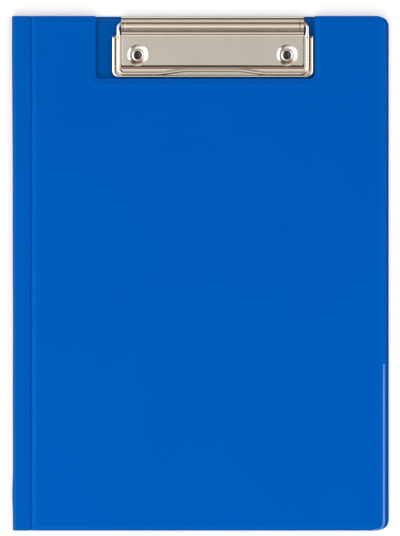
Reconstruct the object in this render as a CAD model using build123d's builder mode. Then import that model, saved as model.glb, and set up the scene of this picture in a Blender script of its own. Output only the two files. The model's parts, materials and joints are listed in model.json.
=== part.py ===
"""A4 clipboard folder with a wire clip, closed and lying on its back.

Two boards lie between two sheets of film that are welded together round them. The film runs
on past the boards as a soft spine, folded in a U along the left side. The front cover has a
notch for the clip, whose base plate is riveted to the back panel.

Origin: middle of the folder's outline, on the surface that it lies on. +X to the right,
+Y to the edge with the clip, +Z up. All sizes are in millimetres.
"""

import os

from build123d import *

# Folder outline, closed
folder_width = 232.0
folder_height = 318.0
cover_overhang_gap = 2.0
back_corner_radius = 6.0
cover_corner_radius = 5.0
least_corner_radius = 0.8

# Film and boards
film = 0.3
pocket_film = 0.2
board = 2.0
board_play = 0.2
weld_width = 1.8
crease_width = 0.5
edge_slope = 1.4
crease_slope = 3.6
weld_rise = 0.4
closed_gap = 0.3
pocket_height = 103.0

# Spine
spine_back_width = 14.0
spine_front_width = 11.0
bend_gap = 0.3

# Notch in the cover, as clear space round the clip's jaw
notch_gap_left = 10.2
notch_gap_right = 0.95
notch_gap_front = 0.6
notch_root_radius = 3.0

# Clip base plate
clip_center_x = 7.55
clip_edge_gap = 0.5
plate_width = 112.8
plate_sheet = 0.7
plate_depth = 19.7
plate_rise = 1.8
plate_edge_radius = 0.6
barrel_width = 7.7
barrel_rise = 3.85
barrel_foot_radius = 1.9
hem_width = 2.0
hem_gap = 0.1
hem_leaf = 10.55
crimp_length = 1.6
crimp_inset = 1.3

# Rivets and their dished seats
rivet_end_margin = 10.25
rivet_setback = 23.5
dish_radius = 6.6
dish_floor_radius = 4.3
dish_wall = 0.4
rivet_shank_radius = 2.85
rivet_bore_radius = 2.45
rivet_curl_radius = 3.65
rivet_curl_height = 0.65
rivet_head_radius = 5.0
rivet_head_height = 0.8
rivet_head_inset = 0.1
rivet_fit = 0.05
rivet_head_play = 0.2

# Bail wire
wire_radius = 1.1
wire_fit = 0.05
wire_back_play = 0.5
wire_axis_height = 2.75
arm_offset = 2.05
arm_length = 30.7
bail_shoulder_radius = 3.2
bail_corner_radius = 4.3
bow_depth = 2.1
bow_flat = 34.0
bow_span = 64.0
bow_bend_radius = 0.0
wire_end_gap = 6.0

# Jaw channel
jaw_sheet = 0.7
jaw_overhang = 2.75
jaw_flare = 0.9
jaw_lip_flare = 0.3
jaw_front_gap = 1.3
jaw_wall_height = 3.4
jaw_arm_inner_gap = 0.4
jaw_arm_length = 26.2
jaw_end_chamfer = 3.0
jaw_corner_radius = 2.8
jaw_floor_depth = 3.8
jaw_bite_gap = 0.4
jaw_bite_drop = 0.6
jaw_bend_radius = 0.5

# Levels of the films and boards, from the resting surface upwards
back_board_bottom = film
back_board_top = back_board_bottom + board
back_top = back_board_top + film
pocket_bottom = back_top + closed_gap
cover_bottom = pocket_bottom + pocket_film
cover_board_bottom = cover_bottom + film
cover_board_top = cover_board_bottom + board
cover_top = cover_board_top + film
back_weld_bottom = weld_rise
back_weld_top = back_weld_bottom + 2 * film
cover_weld_top = cover_top - weld_rise
cover_weld_bottom = cover_weld_top - 2 * film

# Places across the folder
left_x = -folder_width / 2
right_x = folder_width / 2
half_height = folder_height / 2
cover_right_x = right_x - cover_overhang_gap
back_crease_x = left_x + spine_back_width
cover_crease_x = left_x + spine_front_width
fold_radius = (cover_weld_top - back_weld_bottom) / 2
fold_x = left_x + fold_radius
fold_z = (cover_weld_top + back_weld_bottom) / 2
slope_inset = weld_width + edge_slope

# Places of the clip
plate_bottom = back_top
plate_top = plate_bottom + plate_rise
plate_half = plate_width / 2
hem_y = half_height - clip_edge_gap
barrel_back_y = hem_y - hem_width
barrel_front_y = barrel_back_y - barrel_width
barrel_top = plate_top + barrel_rise
plate_front_y = barrel_front_y - plate_sheet - plate_depth
rivet_y = hem_y - rivet_setback
rivet_offset = plate_half - rivet_end_margin
rivet_places = [(clip_center_x + side * rivet_offset, rivet_y) for side in (-1, 1)]
bulge_radius = dish_radius + dish_wall
axis_y = barrel_back_y - plate_sheet - wire_back_play - wire_radius
axis_z = plate_bottom + wire_axis_height
arm_half = plate_half + arm_offset
wire_front_y = axis_y - arm_length
jaw_floor_top = axis_z - wire_radius - wire_fit
jaw_floor_bottom = jaw_floor_top - jaw_sheet
jaw_wall_top = jaw_floor_bottom + jaw_wall_height
jaw_half = arm_half + jaw_overhang
jaw_front_y = wire_front_y - wire_radius - jaw_front_gap
jaw_back_y = jaw_front_y + jaw_arm_length
jaw_arm_inner_half = plate_half + jaw_arm_inner_gap
jaw_bend_y = jaw_front_y + jaw_floor_depth
jaw_bite_y = rivet_y - bulge_radius - jaw_bite_gap
notch_left_x = clip_center_x - jaw_half - jaw_flare - notch_gap_left
notch_right_x = clip_center_x + jaw_half + jaw_flare + notch_gap_right
notch_y = jaw_front_y - jaw_lip_flare - notch_gap_front


def inset_radius(radius, inset):
    """Radius of an outer corner after its outline moves inwards."""
    return max(radius - inset, least_corner_radius)


def back_plan(inset, left):
    """Draws the back panel's outline in the active sketch, with its crease side at left."""
    right = right_x - inset
    half = half_height - inset
    outer = inset_radius(back_corner_radius, inset)
    with BuildLine() as outline:
        FilletPolyline(
            (left, -half),
            (right, -half),
            (right, half),
            (left, half),
            radius=[0, outer, outer, 0],
            close=True,
        )
    make_face(outline.edges())


def cover_plan(inset, left):
    """Draws the cover's outline with its notch in the active sketch, with its spine side at left."""
    right = cover_right_x - inset
    half = half_height - inset
    notch_left = notch_left_x - inset
    notch_right = notch_right_x + inset
    notch_root = notch_y - inset
    outer = inset_radius(cover_corner_radius, inset)
    root = notch_root_radius + inset
    with BuildLine() as outline:
        FilletPolyline(
            (left, -half),
            (right, -half),
            (right, half),
            (notch_right, half),
            (notch_right, notch_root),
            (notch_left, notch_root),
            (notch_left, half),
            (left, half),
            radius=[0, outer, outer, 0, root, root, 0, 0],
            close=True,
        )
    make_face(outline.edges())


def pressed_film(plan, face_z, weld_z, thickness, edge_x, crease_x):
    """Film pressed over a board: flat over it, sloping down to the weld all round.

    face_z and weld_z are the heights of its outer side over the board and at the weld. The
    film's thickness lies behind that side, towards the board.
    """
    inwards = thickness if face_z < weld_z else -thickness
    foot_x = crease_x + crease_width
    slope_x = foot_x + crease_slope
    with BuildPart() as sheet:
        with BuildSketch(Plane.XY.offset(weld_z)):
            plan(0, edge_x)
        extrude(amount=inwards)
        with BuildSketch(Plane.XY.offset(weld_z)):
            plan(weld_width, foot_x)
        with BuildSketch(Plane.XY.offset(face_z)):
            plan(slope_inset, slope_x)
        loft(ruled=True)
        with BuildSketch(Plane.XY.offset(weld_z + inwards)):
            plan(weld_width, foot_x)
        with BuildSketch(Plane.XY.offset(face_z + inwards)):
            plan(slope_inset, slope_x)
        loft(ruled=True, mode=Mode.SUBTRACT)
    return sheet.part


def sheet_section(corners, bends, thickness):
    """Draws the section of a bent sheet in the active sketch.

    corners are the points of its middle line and bends the middle radius at each inner one.
    Each face of the sheet lies half the thickness to one side of that line.
    """
    points = [Vector(*corner) for corner in corners]
    normals = [(end - start).normalized().rotate(Axis.Z, 90) for start, end in zip(points, points[1:])]
    with BuildLine() as outline:
        faces_of_sheet = []
        for side in (thickness / 2, -thickness / 2):
            path = [points[0] + normals[0] * side]
            radii = []
            for point, before, after, bend in zip(points[1:-1], normals, normals[1:], bends):
                turn = 1 if before.cross(after).Z > 0 else -1
                path.append(point + (before + after) * (side / (1 + before.dot(after))))
                radii.append(bend - turn * side)
            path.append(points[-1] + normals[-1] * side)
            faces_of_sheet.append(FilletPolyline(*path, radius=radii))
        Line(faces_of_sheet[0] @ 0, faces_of_sheet[1] @ 0)
        Line(faces_of_sheet[0] @ 1, faces_of_sheet[1] @ 1)
    make_face(outline.edges())


# Places where the films are divided between the parts that bend
back_edge_x = back_crease_x + bend_gap / 2
strip_end_x = back_crease_x - bend_gap / 2
strip_start_x = fold_x + bend_gap
back_slope_x = back_crease_x + crease_width + crease_slope
cover_slope_x = cover_crease_x + crease_width + crease_slope

# Back panel
with BuildPart() as back_outer_film:
    add(pressed_film(back_plan, 0, back_weld_bottom, film, back_edge_x, back_crease_x))
    with BuildSketch():
        with Locations(*rivet_places):
            Circle(rivet_head_radius + rivet_head_play)
    extrude(amount=film, mode=Mode.SUBTRACT)

with BuildPart() as back_board:
    with BuildSketch(Plane.XY.offset(back_board_bottom)):
        back_plan(slope_inset + board_play, back_slope_x + board_play)
    extrude(amount=board)
    with BuildSketch(Plane.XY.offset(back_board_bottom)):
        with Locations(*rivet_places):
            Circle(rivet_shank_radius + rivet_fit)
    extrude(amount=board, mode=Mode.SUBTRACT)
    with BuildSketch(Plane.XY.offset(back_board_bottom)):
        with Locations(*rivet_places):
            Circle(rivet_head_radius + rivet_head_play)
    extrude(amount=rivet_head_inset + rivet_head_height - back_board_bottom, mode=Mode.SUBTRACT)

with BuildPart() as back_inner_film:
    add(pressed_film(back_plan, back_top, back_weld_top, film, back_edge_x, back_crease_x))
    with BuildSketch(Plane.XY.offset(back_board_top)):
        with Locations(*rivet_places):
            Circle(rivet_shank_radius + rivet_fit)
    extrude(amount=film, mode=Mode.SUBTRACT)



def spine_strip(bottom, end_x):
    """Flat film along the spine, from the fold to end_x."""
    with BuildPart() as strip:
        with BuildSketch(Plane.XY.offset(bottom)):
            with Locations(((strip_start_x + end_x) / 2, 0)):
                Rectangle(end_x - strip_start_x, folder_height)
        extrude(amount=film)
    return strip.part


def folded_film(outer_radius):
    """Film bent in a half circle round the fold's middle line."""
    with BuildPart() as fold:
        with BuildSketch(Plane.XZ):
            with Locations((fold_x, fold_z)):
                Circle(outer_radius)
                Circle(outer_radius - film, mode=Mode.SUBTRACT)
            with Locations((fold_x + outer_radius, fold_z)):
                Rectangle(2 * outer_radius, 2 * outer_radius + film, mode=Mode.SUBTRACT)
        extrude(amount=half_height, both=True)
    return fold.part


# Spine: lower strip, U-shaped fold and upper strip, each of outer and inner film
with BuildPart() as spine_lower_outer_film:
    add(spine_strip(back_weld_bottom, strip_end_x))

with BuildPart() as spine_lower_inner_film:
    add(spine_strip(back_weld_bottom + film, strip_end_x))

with BuildPart() as spine_fold_outer_film:
    add(folded_film(fold_radius))

with BuildPart() as spine_fold_inner_film:
    add(folded_film(fold_radius - film))

with BuildPart() as spine_upper_outer_film:
    add(spine_strip(cover_weld_top - film, cover_crease_x))

with BuildPart() as spine_upper_inner_film:
    add(spine_strip(cover_weld_bottom, cover_crease_x))

# Front cover
with BuildPart() as cover_outer_film:
    add(pressed_film(cover_plan, cover_top, cover_weld_top, film, cover_crease_x, cover_crease_x))

with BuildPart() as cover_board:
    with BuildSketch(Plane.XY.offset(cover_board_bottom)):
        cover_plan(slope_inset + board_play, cover_slope_x + board_play)
    extrude(amount=board)

with BuildPart() as cover_inner_film:
    add(pressed_film(cover_plan, cover_bottom, cover_weld_bottom, film, cover_crease_x, cover_crease_x))

with BuildPart() as cover_pocket:
    add(
        pressed_film(
            cover_plan,
            pocket_bottom,
            cover_weld_bottom - pocket_film,
            pocket_film,
            cover_crease_x,
            cover_crease_x,
        )
    )
    split(bisect_by=Plane.XZ.offset(half_height - pocket_height), keep=Keep.TOP)

# Clip base plate: a shallow inverted tray, with a barrel rolled from its back edge
with BuildPart() as clip_base_plate:
    with BuildSketch(Plane.XY.offset(plate_bottom)):
        tray_depth = plate_depth + plate_sheet
        with Locations((clip_center_x, plate_front_y + tray_depth / 2)):
            Rectangle(plate_width, tray_depth)
        with Locations(*rivet_places):
            Circle(bulge_radius)
    extrude(amount=plate_rise)
    straight_edges = faces().sort_by(Axis.Z)[-1].outer_wire().edges().filter_by(GeomType.LINE)
    fillet(straight_edges.sort_by(Axis.Y)[:-1], radius=plate_edge_radius)
    with BuildSketch(Plane.XY.offset(plate_bottom)):
        with Locations((clip_center_x, plate_front_y + plate_sheet + tray_depth / 2)):
            Rectangle(plate_width - 2 * plate_sheet, tray_depth)
    extrude(amount=plate_rise - plate_sheet, mode=Mode.SUBTRACT)
    with BuildSketch(Plane.XY.offset(plate_bottom)):
        with Locations(*rivet_places):
            Circle(dish_radius)
    extrude(amount=plate_rise, mode=Mode.SUBTRACT)

    # Barrel section: plate, arch, hem and the leaf that closes the barrel below
    half_sheet = plate_sheet / 2
    leaf_z = plate_bottom + half_sheet
    hem_z = leaf_z + plate_sheet + hem_gap
    arch_radius = (barrel_width - plate_sheet) / 2
    plate_z = plate_top - half_sheet
    arch_z = barrel_top - half_sheet
    front_z_y = barrel_front_y + half_sheet
    back_z_y = barrel_back_y - half_sheet
    with BuildSketch(Plane.YZ.offset(clip_center_x)):
        sheet_section(
            [
                (barrel_front_y - plate_sheet - barrel_foot_radius, plate_z),
                (front_z_y, plate_z),
                (front_z_y, arch_z),
                (back_z_y, arch_z),
                (back_z_y, hem_z),
                (hem_y - half_sheet, hem_z),
                (hem_y - half_sheet, leaf_z),
                (hem_y - hem_leaf, leaf_z),
            ],
            [
                barrel_foot_radius,
                0.99 * arch_radius,
                0.99 * arch_radius,
                plate_sheet,
                0.49 * (hem_z - leaf_z),
                0.49 * (hem_z - leaf_z),
            ],
            plate_sheet,
        )
    extrude(amount=plate_half, both=True)

    # Dished rivet seats, pressed down on to the panel
    hole_radius = rivet_shank_radius + rivet_fit
    dish_floor_top = plate_bottom + plate_sheet
    for rivet_x, _ in rivet_places:
        with BuildSketch(Plane.XZ.offset(-rivet_y)):
            with BuildLine():
                Polyline(
                    (rivet_x + hole_radius, plate_bottom),
                    (rivet_x + dish_floor_radius + dish_wall, plate_bottom),
                    (rivet_x + bulge_radius, plate_top - plate_sheet),
                    (rivet_x + bulge_radius, plate_top - plate_edge_radius),
                    (rivet_x + dish_radius, plate_top),
                    (rivet_x + dish_floor_radius, dish_floor_top),
                    (rivet_x + hole_radius, dish_floor_top),
                    close=True,
                )
            make_face()
        revolve(axis=Axis((rivet_x, rivet_y, 0), (0, 0, 1)))

    # Crimps near the barrel's ends, closed round the wire as its bearings
    crimp_outer_radius = wire_radius + wire_fit + plate_sheet
    for side in (-1, 1):
        crimp_x = clip_center_x + side * (plate_half - crimp_inset - crimp_length / 2)
        with BuildSketch(Plane.YZ.offset(crimp_x)):
            with Locations((axis_y, axis_z)):
                Circle(crimp_outer_radius)
            with Locations((axis_y, (plate_bottom + axis_z) / 2)):
                Rectangle(2 * plate_sheet, axis_z - plate_bottom)
            with Locations((axis_y, axis_z)):
                Circle(wire_radius + wire_fit, mode=Mode.SUBTRACT)
        extrude(amount=crimp_length / 2, both=True)


def rivet(center_x):
    """Semi-tubular rivet: closed head let into the back, tube curled over on the seat."""
    head_top = rivet_head_inset + rivet_head_height
    curl_middle = (rivet_curl_radius + rivet_bore_radius) / 2
    with BuildPart() as body:
        with BuildSketch(Plane.XZ.offset(-rivet_y)):
            with BuildLine():
                Polyline(
                    (center_x + rivet_bore_radius, dish_floor_top + rivet_curl_height / 2),
                    (center_x + rivet_bore_radius, head_top + film),
                    (center_x, head_top + film),
                    (center_x, rivet_head_inset),
                    (center_x + rivet_head_radius - rivet_head_height, rivet_head_inset),
                    (center_x + rivet_head_radius, head_top),
                    (center_x + rivet_shank_radius, head_top),
                    (center_x + rivet_shank_radius, dish_floor_top),
                    (center_x + rivet_curl_radius, dish_floor_top),
                    (center_x + curl_middle, dish_floor_top + rivet_curl_height),
                    close=True,
                )
            make_face()
        revolve(axis=Axis((center_x, rivet_y, 0), (0, 0, 1)))
    return body.part


with BuildPart() as clip_rivet_left:
    add(rivet(rivet_places[0][0]))

with BuildPart() as clip_rivet_right:
    add(rivet(rivet_places[1][0]))

# Bail: one spring wire, from the barrel round the jaw and back into the barrel
with BuildPart() as bail_wire:
    with BuildLine(Plane.XY.offset(axis_z)) as bail_path:
        left_arm_x = clip_center_x - arm_half
        right_arm_x = clip_center_x + arm_half
        bow_y = wire_front_y + bow_depth
        FilletPolyline(
            (clip_center_x - wire_end_gap / 2, axis_y),
            (left_arm_x, axis_y),
            (left_arm_x, wire_front_y),
            (clip_center_x - bow_span / 2, wire_front_y),
            (clip_center_x - bow_flat / 2, bow_y),
            (clip_center_x + bow_flat / 2, bow_y),
            (clip_center_x + bow_span / 2, wire_front_y),
            (right_arm_x, wire_front_y),
            (right_arm_x, axis_y),
            (clip_center_x + wire_end_gap / 2, axis_y),
            radius=[
                bail_shoulder_radius,
                bail_corner_radius,
                bow_bend_radius,
                bow_bend_radius,
                bow_bend_radius,
                bow_bend_radius,
                bail_corner_radius,
                bail_shoulder_radius,
            ],
        )
    with BuildSketch(Plane.YZ.offset(clip_center_x - wire_end_gap / 2)):
        with Locations((axis_y, axis_z)):
            Circle(wire_radius)
    sweep(transition=Transition.RIGHT)


def jaw_plan(inset, flare, lip_flare, back):
    """Draws the jaw channel's outline in the active sketch, inset by a wall and flared outwards."""
    half = jaw_half + flare - inset
    front = jaw_front_y - lip_flare + inset
    corner = jaw_corner_radius - inset
    with BuildLine() as outline:
        FilletPolyline(
            (clip_center_x - half, front),
            (clip_center_x + half, front),
            (clip_center_x + half, back),
            (clip_center_x - half, back),
            radius=[corner, corner, 0, 0],
            close=True,
        )
    make_face(outline.edges())


# Jaw channel: pressed tray under the wire, open towards the barrel
with BuildPart() as jaw_channel:
    with BuildSketch(Plane.XY.offset(jaw_floor_bottom)):
        jaw_plan(0, 0, 0, jaw_back_y)
    with BuildSketch(Plane.XY.offset(jaw_wall_top)):
        jaw_plan(0, jaw_flare, jaw_lip_flare, jaw_back_y)
    loft(ruled=True)
    with BuildSketch(Plane.XY.offset(jaw_floor_top)):
        jaw_plan(jaw_sheet, 0, 0, jaw_back_y + jaw_sheet)
    with BuildSketch(Plane.XY.offset(jaw_wall_top)):
        jaw_plan(jaw_sheet, jaw_flare, jaw_lip_flare, jaw_back_y + jaw_sheet)
    loft(ruled=True, mode=Mode.SUBTRACT)
    with BuildSketch(Plane.YZ.offset(clip_center_x)):
        with BuildLine():
            Polyline(
                (jaw_back_y - jaw_end_chamfer, jaw_wall_top),
                (jaw_back_y, jaw_wall_top),
                (jaw_back_y, jaw_floor_top),
                close=True,
            )
        make_face()
    extrude(amount=jaw_half + 2 * jaw_flare, both=True, mode=Mode.SUBTRACT)
    window_depth = jaw_arm_length
    with BuildSketch(Plane.XY.offset(jaw_floor_bottom)):
        with Locations((clip_center_x, jaw_bend_y + window_depth / 2)):
            Rectangle(2 * jaw_arm_inner_half, window_depth)
    extrude(amount=jaw_wall_height, mode=Mode.SUBTRACT)
    half_jaw_sheet = jaw_sheet / 2
    with BuildSketch(Plane.YZ.offset(clip_center_x)):
        sheet_section(
            [
                (jaw_bend_y - jaw_bend_radius, jaw_floor_bottom + half_jaw_sheet),
                (jaw_bend_y + jaw_bend_radius, jaw_floor_bottom + half_jaw_sheet),
                (jaw_bite_y, jaw_floor_bottom + half_jaw_sheet - jaw_bite_drop),
            ],
            [jaw_bend_radius],
            jaw_sheet,
        )
    extrude(amount=jaw_arm_inner_half, both=True)

pieces = {
    "back_outer_film": back_outer_film,
    "back_board": back_board,
    "back_inner_film": back_inner_film,
    "spine_lower_outer_film": spine_lower_outer_film,
    "spine_lower_inner_film": spine_lower_inner_film,
    "spine_fold_outer_film": spine_fold_outer_film,
    "spine_fold_inner_film": spine_fold_inner_film,
    "spine_upper_outer_film": spine_upper_outer_film,
    "spine_upper_inner_film": spine_upper_inner_film,
    "cover_outer_film": cover_outer_film,
    "cover_board": cover_board,
    "cover_inner_film": cover_inner_film,
    "cover_pocket": cover_pocket,
    "clip_base_plate": clip_base_plate,
    "clip_rivet_left": clip_rivet_left,
    "clip_rivet_right": clip_rivet_right,
    "bail_wire": bail_wire,
    "jaw_channel": jaw_channel,
}

os.makedirs("parts", exist_ok=True)
for name, piece in pieces.items():
    piece.part.label = name
    export_step(piece.part, f"parts/{name}.step")
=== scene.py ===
"""Looks of an A4 clipboard folder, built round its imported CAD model.

The folder lies closed on its back. Two greyboards lie between blue films that are welded
together round them, the films run on as a folded spine along the left side, and a
nickel-plated wire clip shows through the notch in the cover. Sizes are in millimetres and
become metres where a mesh is written.
"""

import json
import logging
import math
from dataclasses import dataclass, field
from enum import Enum

import bpy
import numpy as np
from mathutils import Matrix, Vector
from mathutils.geometry import delaunay_2d_cdt

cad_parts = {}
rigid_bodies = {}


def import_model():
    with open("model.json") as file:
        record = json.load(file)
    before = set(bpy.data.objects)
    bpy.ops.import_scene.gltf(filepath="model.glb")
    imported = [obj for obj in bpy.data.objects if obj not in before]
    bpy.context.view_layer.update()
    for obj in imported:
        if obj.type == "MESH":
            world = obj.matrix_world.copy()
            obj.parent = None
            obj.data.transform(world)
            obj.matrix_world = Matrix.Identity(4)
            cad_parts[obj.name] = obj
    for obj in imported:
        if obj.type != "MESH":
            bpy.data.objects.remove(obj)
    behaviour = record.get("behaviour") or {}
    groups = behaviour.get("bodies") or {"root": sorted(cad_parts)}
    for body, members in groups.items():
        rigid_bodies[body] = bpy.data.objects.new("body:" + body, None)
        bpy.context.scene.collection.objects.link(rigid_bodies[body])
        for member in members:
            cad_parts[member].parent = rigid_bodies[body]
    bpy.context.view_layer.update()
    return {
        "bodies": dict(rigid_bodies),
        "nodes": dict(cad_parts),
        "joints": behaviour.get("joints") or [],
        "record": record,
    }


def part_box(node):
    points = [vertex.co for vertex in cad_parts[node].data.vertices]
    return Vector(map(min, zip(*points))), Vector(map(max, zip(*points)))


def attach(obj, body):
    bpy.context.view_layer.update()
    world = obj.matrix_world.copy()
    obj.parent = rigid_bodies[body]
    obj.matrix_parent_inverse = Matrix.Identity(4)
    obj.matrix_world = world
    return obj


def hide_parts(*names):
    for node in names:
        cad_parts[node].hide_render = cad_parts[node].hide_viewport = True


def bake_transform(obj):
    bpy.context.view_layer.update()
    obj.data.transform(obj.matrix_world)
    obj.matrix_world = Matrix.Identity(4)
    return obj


LOG = logging.getLogger("clipboard_folder")

Material, Piece = bpy.types.Material, bpy.types.Object
Node, Socket, Tree = bpy.types.Node, bpy.types.NodeSocket, bpy.types.NodeTree
Triple = tuple[float, float, float]
# Corners of an outline with the radius at each, and places of a ramp with the colour at each.
Corners = tuple[list[tuple[float, float]], list[float]]
Stops = tuple[tuple[float, str], ...]

MM = 0.001
# Points of a skin that are closer than the first of these, in millimetres, count as one, and so do
# corners of a flat fill that are closer than the second.
JOIN_DISTANCE = 0.0002
FILL_TOLERANCE = 1e-6
# Room for rounding when insets are compared, and the shortest direction that is made a unit.
TINY = 1e-9
LEAST_LENGTH = 1e-12
# Least cosine by which a wall's inner side is pushed out where its faces turn.
LEAST_LEAN = 0.7
# Distances of an outline's closest points from the spine's crease and from the ends of its side.
NEAR_CREASE = np.array([0.25, 0.6, 1.1, 2.2, 5.0])
NEAR_END = np.array([0.2, 0.4, 0.7, 1.2, 2.5, 5.0])
PVC_IOR = 1.53
# Points round a turned piece and round the hole that it stands in, so that the two join.
ROUND_POINTS = 64
# Numbers of the colour inputs of a node that mixes two colours.
LOW_TONE, HIGH_TONE = 6, 7


class Facing(Enum):
    """Side of a film that shows, by the sign of its direction."""

    UP = 1.0
    DOWN = -1.0


class Side(Enum):
    """Side of the clip, by the sign of its direction across the folder."""

    LEFT = -1
    RIGHT = 1


class Body(Enum):
    """Part of the folder that moves as one."""

    BACK_PANEL = "back_panel"
    SPINE_LOWER = "spine_lower"
    SPINE_FOLD = "spine_fold"
    FRONT_COVER = "front_cover"
    CLIP_JAW = "clip_jaw"


class Slot(Enum):
    """Material slot of the folder's record."""

    BLUE_FILM = "blue_film"
    CLEAR_FILM = "clear_film"
    NICKEL_PLATE = "nickel_plate"
    NICKEL_WIRE = "nickel_wire"


def linear(code: str) -> tuple[float, float, float, float]:
    """Turns an sRGB hex colour into linear light.

    A share up to 0.04045 is divided by 12.92. Any other one, plus 0.055 and divided by 1.055,
    is raised to the power of 2.4.

    Args:
        code: Number sign and six hex digits.

    Returns:
        Red, green and blue, and an alpha of one.
    """
    shares = [int(code[place:place + 2], 16) / 255 for place in (1, 3, 5)]
    lit = [share / 12.92 if share <= 0.04045 else ((share + 0.055) / 1.055) ** 2.4 for share in shares]
    return (*lit, 1.0)


def feed(node: Node, inputs: dict) -> None:
    """Feeds a node's inputs.

    Args:
        node: Node of a material or of the world.
        inputs: Value, or output socket that feeds it, for each input by name or number.
    """
    for name, value in inputs.items():
        if isinstance(value, Socket):
            node.id_data.links.new(value, node.inputs[name])
        else:
            node.inputs[name].default_value = value


def add_node(tree: Tree, kind: str, inputs: dict | None = None, **settings: object) -> Node:
    """Adds a node to a tree.

    Args:
        tree: Node tree of a material or of the world.
        kind: Name of the node's type.
        inputs: Value, or output socket that feeds it, for each input by name or number.
        settings: Properties of the node itself.

    Returns:
        The new node.
    """
    node = tree.nodes.new(kind)
    for name, value in settings.items():
        setattr(node, name, value)
    feed(node, inputs or {})
    return node


def smooth_rise(value: np.ndarray) -> np.ndarray:
    """Eases from 0 to 1 as value goes from 0 to 1: three times its square less twice its cube."""
    share = np.clip(value, 0.0, 1.0)
    return share * share * (3.0 - 2.0 * share)


def bell(value: np.ndarray, centre: float, width: float) -> np.ndarray:
    """Bump of height 1 at centre: e to the power of minus the squared distance in widths."""
    return np.exp(-(((value - centre) / width) ** 2))


def full_turn(count: int) -> np.ndarray:
    """Angles spread evenly over a full turn."""
    return np.linspace(0, 2 * np.pi, count, endpoint=False)


def on_circle(centre: tuple[float, float], radius: float, angle: np.ndarray) -> np.ndarray:
    """Points of a circle: its centre plus the radius times the cosine and the sine of each angle."""
    return np.array(centre) + radius * np.stack([np.cos(angle), np.sin(angle)], axis=-1)


def crossed(first: np.ndarray, second: np.ndarray) -> np.ndarray:
    """Grid of every pair of two rows of places."""
    return np.stack(np.meshgrid(first, second, indexing="ij"), axis=-1)


def at_level(flat: np.ndarray, level: float | np.ndarray) -> np.ndarray:
    """Flat points with a height each, or with one height for all."""
    return np.concatenate([flat, np.broadcast_to(level, (*flat.shape[:-1], 1))], axis=-1)


def node_extent(node: str) -> tuple[np.ndarray, np.ndarray]:
    """Lowest and highest corners of a CAD node at rest, in millimetres."""
    low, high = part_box(node)
    return np.array(low) / MM, np.array(high) / MM


def rivet_centres() -> list[tuple[float, float]]:
    """Places of both rivets' axes."""
    extents = [node_extent(f"clip_rivet_{side.name.lower()}") for side in Side]
    return [tuple((low[:2] + high[:2]) / 2) for low, high in extents]


def rounded_path(
    corners: list[tuple[float, ...]], radii: list[float], arc_steps: int = 8, runs: dict | None = None
) -> np.ndarray:
    """Points along straight runs that are joined by arcs.

    At a corner P, with unit directions a before it and b after it, the arc starts at P less a
    times the radius times the tangent of half the turn. From there a point is the radius times
    (sine of its turn along a, plus one less the cosine along the side of b).

    Args:
        corners: Corners of the path, from its start to its end.
        radii: Arc radius at each corner, 0 for a sharp one and at both ends.
        arc_steps: Steps of each arc.
        runs: For a run, by the number of its first corner, distances of more points from its
            start, or back from its end where negative.

    Returns:
        The points, one in each row.
    """
    points = np.array(corners, float)
    steps = np.diff(points, axis=0)
    ahead = steps / np.linalg.norm(steps, axis=1, keepdims=True)
    arcs = []
    for place, radius in enumerate(radii):
        if radius <= 0:
            arcs.append(points[place:place + 1])
            continue
        before, after = ahead[place - 1], ahead[place]
        side = after - before * (before @ after)
        side = side / np.linalg.norm(side)
        turn = math.acos(np.clip(before @ after, -1, 1))
        turned = np.linspace(0, turn, arc_steps + 1)[:, None]
        start = points[place] - before * radius * math.tan(turn / 2)
        arcs.append(start + radius * (np.sin(turned) * before + (1 - np.cos(turned)) * side))
    path = [arcs[0]]
    for place, (arc, following) in enumerate(zip(arcs, arcs[1:])):
        run = following[0] - arc[-1]
        length = np.linalg.norm(run)
        distances = np.array((runs or {}).get(place, []), float)
        shares = np.where(distances < 0, length + distances, distances) / length
        path += [arc[-1] + run * shares[:, None], following]
    return np.concatenate(path)


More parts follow.
